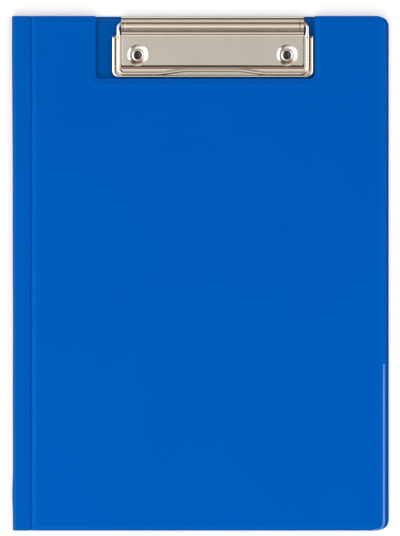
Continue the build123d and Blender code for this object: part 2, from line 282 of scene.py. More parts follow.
class Surface:
    """Skin gathered from grids and flat fills, which join where their points meet."""

    def __init__(self) -> None:
        """Starts an empty skin."""
        self.points: list[np.ndarray] = []
        self.faces: list[np.ndarray] = []
        self.count = 0

    def keep(self, points: np.ndarray) -> int:
        """Keeps more points.

        Args:
            points: One in each row.

        Returns:
            Number of the first one.
        """
        first = self.count
        self.points.append(points)
        self.count += len(points)
        return first

    def grid(self, points: np.ndarray, closed: bool = False, flip: bool = False) -> None:
        """Adds a grid, whose faces look along its column direction crossed with its row direction.

        Args:
            points: Rows by columns by three coordinates.
            closed: Whether the last column joins the first one.
            flip: Whether the faces look the other way.
        """
        rows, columns = points.shape[:2]
        index = self.keep(points.reshape(-1, 3)) + np.arange(rows * columns).reshape(rows, columns)
        if closed:
            index = np.concatenate([index, index[:, :1]], axis=1)
        faces = np.stack([index[:-1, :-1], index[:-1, 1:], index[1:, 1:], index[1:, :-1]], axis=-1)
        faces = faces.reshape(-1, 4)
        self.faces.append(faces[:, ::-1] if flip else faces)

    def fill(self, loops: list[np.ndarray], flip: bool = False, flat: tuple[int, int] = (0, 1)) -> None:
        """Adds the flat region that lies inside an odd number of loops, in triangles.

        Args:
            loops: Closed outlines, each a row of points without the first one repeated.
            flip: Whether the faces look the other way than the turn of the flat axes.
            flat: Numbers of the two axes that the region lies along.
        """
        points = np.concatenate(loops)
        plane = points[:, list(flat)]
        edges, start = [], 0
        for loop in loops:
            index = start + np.arange(len(loop))
            edges.append(np.stack([index, np.roll(index, -1)], axis=1))
            start += len(loop)
        edges = np.concatenate(edges)
        found = delaunay_2d_cdt([Vector(point) for point in plane], edges.tolist(), [], 0, FILL_TOLERANCE)
        origin = np.array([originals[0] for originals in found[3]])
        faces = origin[np.array(found[2])]
        corner, second, third = plane[faces[:, 0]], plane[faces[:, 1]], plane[faces[:, 2]]
        area = np.cross(second - corner, third - corner)
        faces = np.where(area[:, None] < 0, faces[:, ::-1], faces)
        middle = plane[faces].mean(axis=1)[:, None]
        low, high = plane[edges[:, 0]], plane[edges[:, 1]]
        crosses = (low[:, 1] > middle[..., 1]) != (high[:, 1] > middle[..., 1])
        rise = np.where(high[:, 1] == low[:, 1], 1.0, high[:, 1] - low[:, 1])
        reach = low[:, 0] + (middle[..., 1] - low[:, 1]) * (high[:, 0] - low[:, 0]) / rise
        inside = (crosses & (reach > middle[..., 0])).sum(axis=1) % 2 == 1
        faces = faces[inside][:, ::-1] if flip else faces[inside]
        self.faces.append(self.keep(points) + np.concatenate([faces, faces[:, 2:]], axis=1))

    def joined(self) -> tuple[np.ndarray, np.ndarray]:
        """Joins points that meet.

        Returns:
            The points, and faces of four corners. A triangle has one corner twice.
        """
        points = np.concatenate(self.points)
        places = np.round(points / JOIN_DISTANCE).astype(np.int64)
        _, first, number = np.unique(places, axis=0, return_index=True, return_inverse=True)
        faces = number.reshape(-1)[np.concatenate(self.faces)]
        repeats = (faces == np.roll(faces, -1, axis=1)).sum(axis=1)
        crossed = (faces[:, 0] == faces[:, 2]) | (faces[:, 1] == faces[:, 3])
        return points[first], faces[(repeats < 2) & ~crossed]

    def piece(
        self, name: str, material: Material, thickness: float = 0.0, sharp_degrees: float = 40.0
    ) -> Piece:
        """Writes the skin as an object.

        A wall's inner side is each point moved back along the mean of its faces' directions,
        and strips of faces close the wall along the skin's open edges.

        Args:
            name: Name of the object.
            material: Its finish.
            thickness: Wall behind the skin, 0 for a skin that is closed already.
            sharp_degrees: Edges that turn by more than this stay sharp.

        Returns:
            The new object, at the origin, linked to the scene.
        """
        points, faces = self.joined()
        if thickness:
            points, faces = thickened(points, faces, thickness)
        repeated = faces == np.roll(faces, -1, axis=1)
        pinched = repeated.any(axis=1)
        polygons = faces[~pinched].tolist() + faces[pinched][~repeated[pinched]].reshape(-1, 3).tolist()
        mesh = bpy.data.meshes.new(name)
        mesh.from_pydata((points * MM).tolist(), [], polygons)
        mesh.validate()
        mesh.shade_smooth()
        mesh.set_sharp_from_angle(angle=math.radians(sharp_degrees))
        mesh.materials.append(material)
        made = bpy.data.objects.new(name, mesh)
        bpy.context.scene.collection.objects.link(made)
        return made


def thickened(points: np.ndarray, faces: np.ndarray, thickness: float) -> tuple[np.ndarray, np.ndarray]:
    """Gives an open skin a wall behind it.

    Args:
        points: The skin's points.
        faces: Its faces, four corners each.
        thickness: Of the wall.

    Returns:
        Points and faces of the closed wall.
    """
    corners = points[faces]
    normals = np.cross(corners[:, 2] - corners[:, 0], corners[:, 3] - corners[:, 1])
    lengths = np.linalg.norm(normals, axis=1, keepdims=True)
    normals = normals / np.maximum(lengths, LEAST_LENGTH)
    total = np.zeros_like(points)
    np.add.at(total, faces.ravel(), np.repeat(normals, 4, axis=0))
    total = total / np.maximum(np.linalg.norm(total, axis=1, keepdims=True), LEAST_LENGTH)
    leaning = np.ones(len(points))
    np.minimum.at(leaning, faces.ravel(), (total[faces] @ normals[:, :, None])[..., 0].ravel())
    inner = points - total * thickness / np.clip(leaning, LEAST_LEAN, 1.0)[:, None]
    count = len(points)
    starts, ends = faces.ravel(), np.roll(faces, -1, axis=1).ravel()
    real = starts != ends
    starts, ends = starts[real], ends[real]
    open_edge = ~np.isin(starts * count + ends, ends * count + starts)
    starts, ends = starts[open_edge], ends[open_edge]
    rim = np.stack([ends, starts, starts + count, ends + count], axis=1)
    return np.concatenate([points, inner]), np.concatenate([faces, faces[:, ::-1] + count, rim])


def revolved(skin: Surface, centre: tuple[float, float], profile: np.ndarray, flip: bool) -> None:
    """Adds a profile turned round an upright axis: x and y are its radius times cosine and sine.

    Args:
        skin: Surface that gets the grid.
        centre: Place of the axis.
        profile: Radius and height of each point.
        flip: Whether the faces look the other way.
    """
    flat = np.array(centre) + profile[:, None, :1] * on_circle((0.0, 0.0), 1.0, full_turn(ROUND_POINTS))
    skin.grid(at_level(flat, profile[:, None, 1:]), closed=True, flip=flip)


def carried_round(
    skin: Surface,
    path: np.ndarray,
    level: float,
    half_width: np.ndarray,
    half_height: np.ndarray,
    turns: int = 28,
) -> None:
    """Adds an ellipse carried along a level path, closed to a point at both ends.

    A point lies on its path's point plus the half width times the cosine of its turn sideways,
    and the half height times the sine above the level.

    Args:
        skin: Surface that gets the grid.
        path: Level places along the middle.
        level: Height of the middle.
        half_width: Of the ellipse at each place.
        half_height: Of the ellipse at each place.
        turns: Points round the middle.
    """
    ahead = np.gradient(path, axis=0)
    ahead[[0, -1]] = path[[1, -1]] - path[[0, -2]]
    ahead = ahead / np.linalg.norm(ahead, axis=1, keepdims=True)
    side = np.stack([-ahead[:, 1], ahead[:, 0]], axis=-1)
    path, side = (np.concatenate([rows[:1], rows, rows[-1:]]) for rows in (path, side))
    half_width, half_height = (np.pad(half, 1) for half in (half_width, half_height))
    turn = full_turn(turns)
    flat = path[:, None] + side[:, None] * (half_width[:, None] * np.cos(turn))[..., None]
    height = level + half_height[:, None] * np.sin(turn)
    skin.grid(at_level(flat, height[..., None]), closed=True)


@dataclass(frozen=True)
class Finish:
    """What every finish shares: a name, and a material whose shader the finish's own nodes feed.

    Pattern sizes and depths of the finishes are in millimetres.
    """

    name: str

    def shader_inputs(self, tree: Tree, place: Socket) -> dict:
        """Adds the finish's nodes. Each finish has its own ones, and this plain one has none.

        Args:
            tree: Node tree of the material.
            place: Place on the piece, in metres.

        Returns:
            Value or output socket for each input of the shader.
        """
        return {}

    def material(self) -> Material:
        """Builds the material.

        Returns:
            The material, with the finish's name.
        """
        made = bpy.data.materials.new(self.name)
        made.use_nodes = True
        tree = made.node_tree
        place = add_node(tree, "ShaderNodeTexCoord").outputs["Object"]
        feed(tree.nodes["Principled BSDF"], self.shader_inputs(tree, place))
        return made


@dataclass(frozen=True)
class CalenderedFilm(Finish):
    """Blue PVC film, calendered smooth and welded by a hot die.

    Calendering leaves a soft even gloss with a faint orange skin, so highlights are wide and
    low. Handling leaves a few long hairline scuffs that are a little rougher, 1.1 mm wide and
    40 mm long here, coarse enough to show.
    """

    name: str = "calendered_blue_pvc_film"
    colour: str = "#005AC0"
    shade: str = "#0056BA"
    sheen_tint: str = "#26FFF5"
    roughness: float = 0.36
    gloss: float = 0.24
    cloud_size: float = 70.0
    skin_grain: float = 0.9
    skin_depth: float = 0.012
    scuffs_per_metre: Triple = (900.0, 25.0, 25.0)
    scuff_roughness: float = 0.1

    def shader_inputs(self, tree: Tree, place: Socket) -> dict:
        """Adds clouds in the colour, scuffs in the roughness and a fine skin.

        Args:
            tree: Node tree of the material.
            place: Place on the piece, in metres.

        Returns:
            Value or output socket for each input of the shader.
        """
        noise = {"Vector": place, "Scale": 1 / (self.cloud_size * MM), "Detail": 3.0, "Roughness": 0.55}
        clouds = add_node(tree, "ShaderNodeTexNoise", noise).outputs["Fac"]
        tones = {0: clouds, LOW_TONE: linear(self.shade), HIGH_TONE: linear(self.colour)}
        stretch = add_node(tree, "ShaderNodeMapping", {"Vector": place, "Scale": self.scuffs_per_metre})
        noise = {"Vector": stretch.outputs[0], "Scale": 1.0, "Detail": 4.0}
        scuffs = add_node(tree, "ShaderNodeTexNoise", noise).outputs["Fac"]
        worn = {"Value": scuffs, "From Min": 0.55, "From Max": 0.75}
        worn |= {"To Min": self.roughness, "To Max": self.roughness + self.scuff_roughness}
        noise = {"Vector": place, "Scale": 1 / (self.skin_grain * MM), "Detail": 2.0}
        grain = add_node(tree, "ShaderNodeTexNoise", noise).outputs["Fac"]
        relief = {"Height": grain, "Strength": 0.25, "Distance": self.skin_depth * MM}
        return {
            "Base Color": add_node(tree, "ShaderNodeMix", tones, data_type="RGBA").outputs[2],
            "Roughness": add_node(tree, "ShaderNodeMapRange", worn).outputs[0],
            "Normal": add_node(tree, "ShaderNodeBump", relief).outputs[0],
            "IOR": PVC_IOR,
            "Specular IOR Level": self.gloss,
            "Specular Tint": linear(self.sheen_tint),
        }


@dataclass(frozen=True)
class ClearFilm(Finish):
    """Clear PVC film of the inner pocket, calendered, faintly milky where it was welded.

    It is glossier than the blue film, so its edges catch a bright line.
    """

    name: str = "clear_pvc_film"
    colour: str = "#E6F0FF"
    roughness: float = 0.12
    clearness: float = 0.94
    ripple: float = 6.0
    ripple_depth: float = 0.05
    haze: float = 0.1

    def shader_inputs(self, tree: Tree, place: Socket) -> dict:
        """Adds a soft ripple and a thin haze to a clear body.

        Args:
            tree: Node tree of the material.
            place: Place on the piece, in metres.

        Returns:
            Value or output socket for each input of the shader.
        """
        noise = {"Vector": place, "Scale": 1 / (self.ripple * MM), "Detail": 2.0}
        ripples = add_node(tree, "ShaderNodeTexNoise", noise).outputs["Fac"]
        haze = {"Value": ripples, "To Min": self.roughness, "To Max": self.roughness + self.haze}
        relief = {"Height": ripples, "Strength": 0.3, "Distance": self.ripple_depth * MM}
        return {
            "Base Color": linear(self.colour),
            "Roughness": add_node(tree, "ShaderNodeMapRange", haze).outputs[0],
            "Normal": add_node(tree, "ShaderNodeBump", relief).outputs[0],
            "IOR": PVC_IOR,
            "Transmission Weight": self.clearness,
        }


@dataclass(frozen=True)
class BrightNickel(Finish):
    """Bright nickel plated on pressed or drawn steel.

    Nickel is warm and a little darker than chrome. The steel's rolling or drawing lines stay
    under the plate as a fine grain, which stretches reflections across it.
    """

    colour: str = "#D6D0C6"
    dull: str = "#CEC6BA"
    roughness: float = 0.1
    smoother: float = 0.03
    rougher: float = 0.05
    grain_across: float = 0.25
    grain_along: float = 12.0
    grain_depth: float = 0.004
    blotch_size: float = 9.0

    def shader_inputs(self, tree: Tree, place: Socket) -> dict:
        """Adds a drawn grain and faint blotches to warm metal.

        Args:
            tree: Node tree of the material.
            place: Place on the piece, in metres.

        Returns:
            Value or output socket for each input of the shader.
        """
        across, along = 1 / (self.grain_across * MM), 1 / (self.grain_along * MM)
        stretch = add_node(tree, "ShaderNodeMapping", {"Vector": place, "Scale": (along, across, across)})
        noise = {"Vector": stretch.outputs[0], "Scale": 1.0, "Detail": 3.0}
        grain = add_node(tree, "ShaderNodeTexNoise", noise).outputs["Fac"]
        noise = {"Vector": place, "Scale": 1 / (self.blotch_size * MM), "Detail": 4.0}
        blotches = add_node(tree, "ShaderNodeTexNoise", noise).outputs["Fac"]
        tones = {0: blotches, LOW_TONE: linear(self.dull), HIGH_TONE: linear(self.colour)}
        low, high = self.roughness - self.smoother, self.roughness + self.rougher
        worn = {"Value": grain, "To Min": low, "To Max": high}
        relief = {"Height": grain, "Strength": 0.4, "Distance": self.grain_depth * MM}
        return {
            "Base Color": add_node(tree, "ShaderNodeMix", tones, data_type="RGBA").outputs[2],
            "Roughness": add_node(tree, "ShaderNodeMapRange", worn).outputs[0],
            "Normal": add_node(tree, "ShaderNodeBump", relief).outputs[0],
            "Metallic": 1.0,
        }


@dataclass(frozen=True)
class ShadePaintedSteel(Finish):
    """Blotchy, nearly black steel of painted shade: dark pieces set where the clip's gaps, seams and bores
    fall into shade.
    """

    name: str = "dark_steel_painted_shade"
    # Both tones are painted shade, blotched together by noise.
    colour: str = "#58565C"
    deep_shade: str = "#282423"
    shade_blotch_size: float = 1.5
    roughness: float = 0.4

    def shader_inputs(self, tree: Tree, place: Socket) -> dict:
        """Adds blotches to the dark steel of the painted shade.

        Args:
            tree: Node tree of the material.
            place: Place on the piece, in metres.

        Returns:
            Value or output socket for each input of the shader.
        """
        noise = {"Vector": place, "Scale": 1 / (self.shade_blotch_size * MM), "Detail": 4.0}
        shade_blotches = add_node(tree, "ShaderNodeTexNoise", noise).outputs["Fac"]
        tones = {0: shade_blotches, LOW_TONE: linear(self.deep_shade), HIGH_TONE: linear(self.colour)}
        colour = add_node(tree, "ShaderNodeMix", tones, data_type="RGBA").outputs[2]
        return {"Base Color": colour, "Metallic": 1.0, "Roughness": self.roughness}


@dataclass(frozen=True)
class Greyboard(Finish):
    """Uncoated greyboard, pressed from waste paper: matt, with flecks and short fibres."""

    name: str = "uncoated_greyboard"
    colour: str = "#A59C8F"
    fleck: str = "#7C746A"
    fibre_size: float = 0.6
    fibre_depth: float = 0.04
    roughness: float = 0.9

    def shader_inputs(self, tree: Tree, place: Socket) -> dict:
        """Adds flecks and a fibrous relief.

        Args:
            tree: Node tree of the material.
            place: Place on the piece, in metres.

        Returns:
            Value or output socket for each input of the shader.
        """
        noise = {"Vector": place, "Scale": 1 / (self.fibre_size * MM), "Detail": 5.0}
        fibres = add_node(tree, "ShaderNodeTexNoise", noise).outputs["Fac"]
        tones = {0: fibres, LOW_TONE: linear(self.fleck), HIGH_TONE: linear(self.colour)}
        relief = {"Height": fibres, "Strength": 0.5, "Distance": self.fibre_depth * MM}
        return {
            "Base Color": add_node(tree, "ShaderNodeMix", tones, data_type="RGBA").outputs[2],
            "Normal": add_node(tree, "ShaderNodeBump", relief).outputs[0],
            "Roughness": self.roughness,
        }


@dataclass(frozen=True)
class PaperSweep(Finish):
    """White paper sweep of the studio: matt, faintly grained, and lit a little where the camera sees it."""

    name: str = "white_paper_sweep"
    colour: str = "#F9F9F9"
    shade: str = "#F4F4F4"
    glow: float = 0.26
    grain_size: float = 2.0
    roughness: float = 0.9
    gloss: float = 0.1

    def shader_inputs(self, tree: Tree, place: Socket) -> dict:
        """Adds a paper grain, and a glow for the camera alone.

        Args:
            tree: Node tree of the material.
            place: Place on the piece, in metres.

        Returns:
            Value or output socket for each input of the shader.
        """
        noise = {"Vector": place, "Scale": 1 / (self.grain_size * MM), "Detail": 4.0}
        grain = add_node(tree, "ShaderNodeTexNoise", noise).outputs["Fac"]
        tones = {0: grain, LOW_TONE: linear(self.shade), HIGH_TONE: linear(self.colour)}
        seen = add_node(tree, "ShaderNodeLightPath").outputs["Is Camera Ray"]
        glow = add_node(tree, "ShaderNodeMath", {0: seen, 1: self.glow}, operation="MULTIPLY")
        return {
            "Base Color": add_node(tree, "ShaderNodeMix", tones, data_type="RGBA").outputs[2],
            "Emission Strength": glow.outputs[0],
            "Emission Color": linear("#FFFFFF"),
            "Roughness": self.roughness,
            "Specular IOR Level": self.gloss,
        }


@dataclass(frozen=True)
class DiePress:
    """Relief that the welding die leaves in a film round its board."""

    weld_width: float = 1.2
    slope_width: float = 1.9
    crease_slope_width: float = 3.6
    groove_place: float = 1.15
    groove_width: float = 0.25
    groove_depth: float = 0.1
    slope_ease: float = 0.5
    lip_width: float = 0.35
    lip_drop: float = 0.1
    ridge_place: float = 4.0
    ridge_width: float = 0.9
    ridge_height: float = 0.15
    flat_inset: float = 7.5
    last_row: float = 0.8
    slope_rows: int = 9
    lip_rows: tuple[float, ...] = (0.0, 0.06, 0.12, 0.2, 0.35, 0.6, 0.85, 1.0)

    def insets(self) -> np.ndarray:
        """Gives the distances from the cut edge at which the film has a row of points.

        Returns:
            The distances, closest at the lip and on the slope.
        """
        foot = self.weld_width
        top = foot + self.slope_width
        slope = np.linspace(foot, top, self.slope_rows)
        ridge = np.linspace(top, self.ridge_place + 2 * self.ridge_width, self.slope_rows + 1)[1:]
        last = [self.flat_inset - self.last_row, self.flat_inset]
        return np.concatenate([self.lip_rows, slope, ridge, last])

    def rise(self, inset: np.ndarray) -> np.ndarray:
        """Share of the way from the weld up to the board's face at an inset: a line eased at its ends."""
        share = np.clip((inset - self.weld_width) / self.slope_width, 0, 1)
        return share + self.slope_ease * (smooth_rise(share) - share)

    def relief(self, distance: np.ndarray) -> np.ndarray:
        """Adds up the ridge, less the groove and the lip, which rounds off by a squared share.

        Args:
            distance: From the cut edge.

        Returns:
            Height over the slope.
        """
        ridge = self.ridge_height * bell(distance, self.ridge_place, self.ridge_width)
        groove = self.groove_depth * bell(distance, self.groove_place, self.groove_width)
        lip = self.lip_drop * np.clip(1 - distance / self.lip_width, 0, 1) ** 2
        return ridge - groove - lip


@dataclass(frozen=True)
class PanelOutline:
    """Outline of a panel: right-angled, with rounded corners away from the spine."""

    right: float
    half_height: float
    foot_x: float
    corner_radius: float
    press: DiePress
    least_radius: float = 0.8
    side_step: float = 5.0
    side_stop: float = 6.0
    beyond: float = 100.0

    def left(self, inset: float) -> float:
        """Place of the spine side, where the slope is wider than at the cut edges.

        Args:
            inset: Distance from the cut edges.

        Returns:
            Its place across the panel, in step with the inset from the slope's top on.
        """
        foot = self.press.weld_width
        top = foot + self.press.slope_width
        wide = self.foot_x + self.press.crease_slope_width
        places = [self.foot_x, wide, wide + self.beyond]
        return float(np.interp(inset, [foot, top, top + self.beyond], places))

    def corners(self, inset: float) -> Corners:
        """Gives the corners and their radii, from the lower left one round to the upper left one.

        Args:
            inset: Distance from the cut edges.

        Returns:
            The corners, and the radius at each.
        """
        left, right, half = self.left(inset), self.right - inset, self.half_height - inset
        outer = max(self.corner_radius - inset, self.least_radius)
        return [(left, -half), (right, -half), (right, half), (left, half)], [0, outer, outer, 0]

    def edge(self, inset: float) -> np.ndarray:
        """Points of the outline at an inset, without the spine side."""
        corners, radii = self.corners(inset)
        return rounded_path(corners, radii, runs={0: NEAR_CREASE, len(corners) - 2: -NEAR_CREASE[::-1]})

    def spine_side(self, inset: float) -> np.ndarray:
        """Gives the points of the spine side, closest at its ends.

        Args:
            inset: Distance from the cut edges.

        Returns:
            The points, from the upper end to the lower one.
        """
        corners, _ = self.corners(inset)
        evenly = np.arange(2 * self.side_step, self.half_height - self.side_stop, self.side_step)
        upper, lower = (corners[0][0], corners[-1][1]), corners[0]
        middle = (upper[1] - lower[1]) / 2
        distances = np.concatenate([NEAR_END, evenly, [middle], -evenly[::-1], -NEAR_END[::-1]])
        return rounded_path([upper, lower], [0, 0], runs={0: distances})


@dataclass(frozen=True)
class CoverOutline(PanelOutline):
    """Outline of the cover, with the notch for the clip in its upper edge."""

    notch_left: float = 0.0
    notch_right: float = 0.0
    notch_y: float = 0.0
    root_radius: float = 3.0
    mouth_radius: float = 0.6
    least_mouth: float = 0.1

    def corners(self, inset: float) -> Corners:
        """Gives the corners and their radii, from the lower left one round to the upper left one.

        Args:
            inset: Distance from the cut edges.

        Returns:
            The corners, and the radius at each.
        """
        lower, radii = super().corners(inset)
        half = self.half_height - inset
        left, right, root_y = self.notch_left - inset, self.notch_right + inset, self.notch_y - inset
        root, mouth = self.root_radius + inset, max(self.mouth_radius - inset, self.least_mouth)
        notch = [(right, half), (right, root_y), (left, root_y), (left, half)]
        return lower[:3] + notch + lower[3:], radii[:3] + [mouth, root, root, mouth] + radii[3:]


@dataclass(frozen=True)
class PocketOutline(PanelOutline):
    """Outline of the pocket's film, whose upper edge lies free across the cover."""

    top_y: float = 0.0

    def corners(self, inset: float) -> Corners:
        """Gives the corners and their radii, from the lower left one round to the upper right one."""
        lower, radii = super().corners(inset)
        return lower[:2] + [(lower[1][0], self.top_y)], radii[:2] + [0]

    def edge(self, inset: float) -> np.ndarray:
        """Points of the outline at an inset, without the spine side."""
        corners, radii = self.corners(inset)
        return rounded_path(corners, radii, runs={0: NEAR_CREASE})

    def spine_side(self, inset: float) -> np.ndarray:
        """Points of the spine side at an inset, from the free edge down."""
        corners, _ = self.corners(inset)
        return rounded_path([(corners[0][0], self.top_y), corners[0]], [0, 0])


@dataclass(frozen=True)
class Crease:
    """Line that the film folds along: a groove, steep on the spine's side, with a finer line beside it.

    Where no place is given it lies far off, so that a film has none.
    """

    x: float = -1000.0
    depth: float = 1.2
    steep_width: float = 0.75
    gentle_width: float = 1.0
    dip_depth: float = 0.1
    dip_width: float = 2.2
    second_offset: float = -2.6
    second_depth: float = 0.12
    second_width: float = 0.4
    second_start_y: float = -128.0
    second_fade: float = 16.0

    def dip(self, x: np.ndarray, y: np.ndarray) -> np.ndarray:
        """Gives the depth below the film's own level: a pinched groove, a wide dip and a fine line.

        The groove is e to the power of minus the distance in widths. The other two are bells,
        and the fine line starts gently along the crease.

        Args:
            x: Places across the crease.
            y: Places along it.

        Returns:
            The depth at each place.
        """
        second = self.second_depth * bell(x, self.x + self.second_offset, self.second_width)
        second = second * smooth_rise((self.second_start_y - y) / self.second_fade)
        width = np.where(x < self.x, self.steep_width, self.gentle_width)
        groove = self.depth * np.exp(-np.abs(x - self.x) / width)
        return groove + self.dip_depth * bell(x, self.x, self.dip_width) + second


@dataclass(frozen=True)
class PressedFilm:
    """One film of a panel, flat over the board and pressed down to the weld all round.

    A strip beyond the panel's foot, where one is asked for, runs on to the spine.
    """

    outline: PanelOutline
    facing: Facing
    weld_z: float
    face_z: float
    relief_share: float
    crease: Crease = field(default_factory=Crease)
    strip_x: np.ndarray | None = None
    strip_bulge: float = 0.1

    def lifted(self, flat: np.ndarray, inset: np.ndarray, distance: np.ndarray) -> np.ndarray:
        """Gives each flat point its height: weld level, slope, relief and crease added up.

        Args:
            flat: Places of the points.
            inset: Inset of the row that each point belongs to.
            distance: Distance of each point from the cut edge.

        Returns:
            The points with their heights.
        """
        press, side = self.outline.press, self.facing.value
        height = self.weld_z + (self.face_z - self.weld_z) * press.rise(inset)
        height = height + side * self.relief_share * press.relief(distance)
        height = height - self.crease.dip(flat[..., 0], flat[..., 1])
        return at_level(flat, height[..., None])

    def skin(self, holes: list[np.ndarray] | None = None) -> Surface:
        """Builds the film's outer side.

        Rows run along the outline at growing insets. The flat middle is filled with triangles.
        The strip bulges by the squared sine of its share of a half turn.

        Args:
            holes: Outlines of holes in the flat middle.

        Returns:
            The skin.
        """
        made = Surface()
        flip = self.facing is Facing.DOWN
        press, half = self.outline.press, self.outline.half_height
        insets = press.insets()
        in_weld = insets < press.weld_width - TINY
        edge = np.stack([self.outline.edge(inset) for inset in insets])
        rows = np.broadcast_to(insets[:, None], edge.shape[:2])
        edge = self.lifted(edge, rows, rows)
        made.grid(edge, flip=flip)
        side = np.stack([self.outline.spine_side(inset) for inset in insets[~in_weld]])
        rows = np.broadcast_to(insets[~in_weld][:, None], side.shape[:2])
        side = self.lifted(side, rows, half - np.abs(side[..., 1]))
        made.grid(side, flip=flip)
        loop = np.concatenate([edge[-1], side[-1]])
        apart = np.linalg.norm(loop - np.roll(loop, 1, axis=0), axis=1) > JOIN_DISTANCE
        made.fill([loop[apart], *(holes or [])], flip=flip)
        if self.strip_x is not None:
            ends = half - insets[in_weld]
            flat = crossed(self.strip_x, np.concatenate([ends, side[0][:, 1], -ends[::-1]]))
            strip = self.lifted(flat, np.zeros(flat.shape[:2]), half - np.abs(flat[..., 1]))
            share = (self.strip_x - self.strip_x[0]) / (self.strip_x[-1] - self.strip_x[0])
            strip[..., 2] += self.facing.value * self.strip_bulge * (np.sin(np.pi * share) ** 2)[:, None]
            made.grid(strip, flip=flip)
        return made


@dataclass
class FolderSizes:
    """Sizes that the folder's pieces share, from the CAD model's extents and the film's own ones."""

    film: float = 0.3
    pocket_film: float = 0.2
    crease_width: float = 0.5
    spine_back_width: float = 14.0
    spine_front_width: float = 11.0
    back_corner_radius: float = 6.0
    cover_corner_radius: float = 5.0
    notch_gap_left: float = 10.2
    notch_gap_right: float = 0.95
    notch_gap_front: float = 0.6
    fold_lead: float = 1.0
    crease_half_width: float = 0.5
    press: DiePress = field(default_factory=DiePress)

    def __post_init__(self) -> None:
        """Works out places and levels."""
        fold_low, fold_high = node_extent("spine_fold_outer_film")
        self.left, self.half_height = fold_low[0], fold_high[1]
        self.fold_low_z, self.fold_high_z = fold_low[2], fold_high[2]
        self.fold_radius = (self.fold_high_z - self.fold_low_z) / 2
        self.fold_x = self.left + self.fold_radius
        self.fold_z = (self.fold_high_z + self.fold_low_z) / 2
        self.back_foot_x = self.left + self.spine_back_width + self.crease_width
        self.cover_foot_x = self.left + self.spine_front_width + self.crease_width
        self.strip_end_x = self.fold_x + self.fold_lead


@dataclass
class BackPanel:
    """Back panel: greyboard between the outer and the inner film, with the rivets' holes.

    The outer film keeps only a share of the die's relief, since it was welded face down.
    """

    sizes: FolderSizes
    film_finish: Material
    shaded_lining_finish: Material
    board_finish: Material
    head_hole_radius: float = 5.2
    shank_hole_radius: float = 2.9
    edge_overhang: float = 0.75
    outer_relief: float = 0.3
    inner_relief: float = 1.0
    body: Body = Body.BACK_PANEL

    def outline(self) -> PanelOutline:
        """Gives the panel's outline.

        Returns:
            The outline, whose right edge shows beside the cover.
        """
        _, high = node_extent("back_outer_film")
        sizes, right = self.sizes, high[0] + self.edge_overhang
        corner = sizes.back_corner_radius
        return PanelOutline(right, sizes.half_height, sizes.back_foot_x, corner, sizes.press)

    def rivet_holes(self, radius: float, height: float) -> list[np.ndarray]:
        """Gives a ring of points for each rivet, at a radius and a height."""
        angle = full_turn(48)
        return [at_level(on_circle(centre, radius, angle), height) for centre in rivet_centres()]

    def build(self, frame: dict) -> None:
        """Makes both films and dresses the board.

        Args:
            frame: The loaded CAD model.
        """
        sizes, outline = self.sizes, self.outline()
        low, _ = node_extent("back_outer_film")
        outer = PressedFilm(outline, Facing.DOWN, sizes.fold_low_z, low[2], self.outer_relief)
        skin = outer.skin(self.rivet_holes(self.head_hole_radius, low[2]))
        piece = skin.piece("back_outer_film_sheet", self.film_finish, sizes.film)
        dress(piece, self.body, Slot.BLUE_FILM, "back_outer_film")
        _, high = node_extent("back_inner_film")
        weld_z = sizes.fold_low_z + 2 * sizes.film
        inner = PressedFilm(outline, Facing.UP, weld_z, high[2], self.inner_relief)
        skin = inner.skin(self.rivet_holes(self.shank_hole_radius, high[2]))
        piece = skin.piece("back_inner_film_sheet", self.shaded_lining_finish, sizes.film)
        dress(piece, self.body, Slot.BLUE_FILM, "back_inner_film")
        refinish(frame, "back_board", self.board_finish)


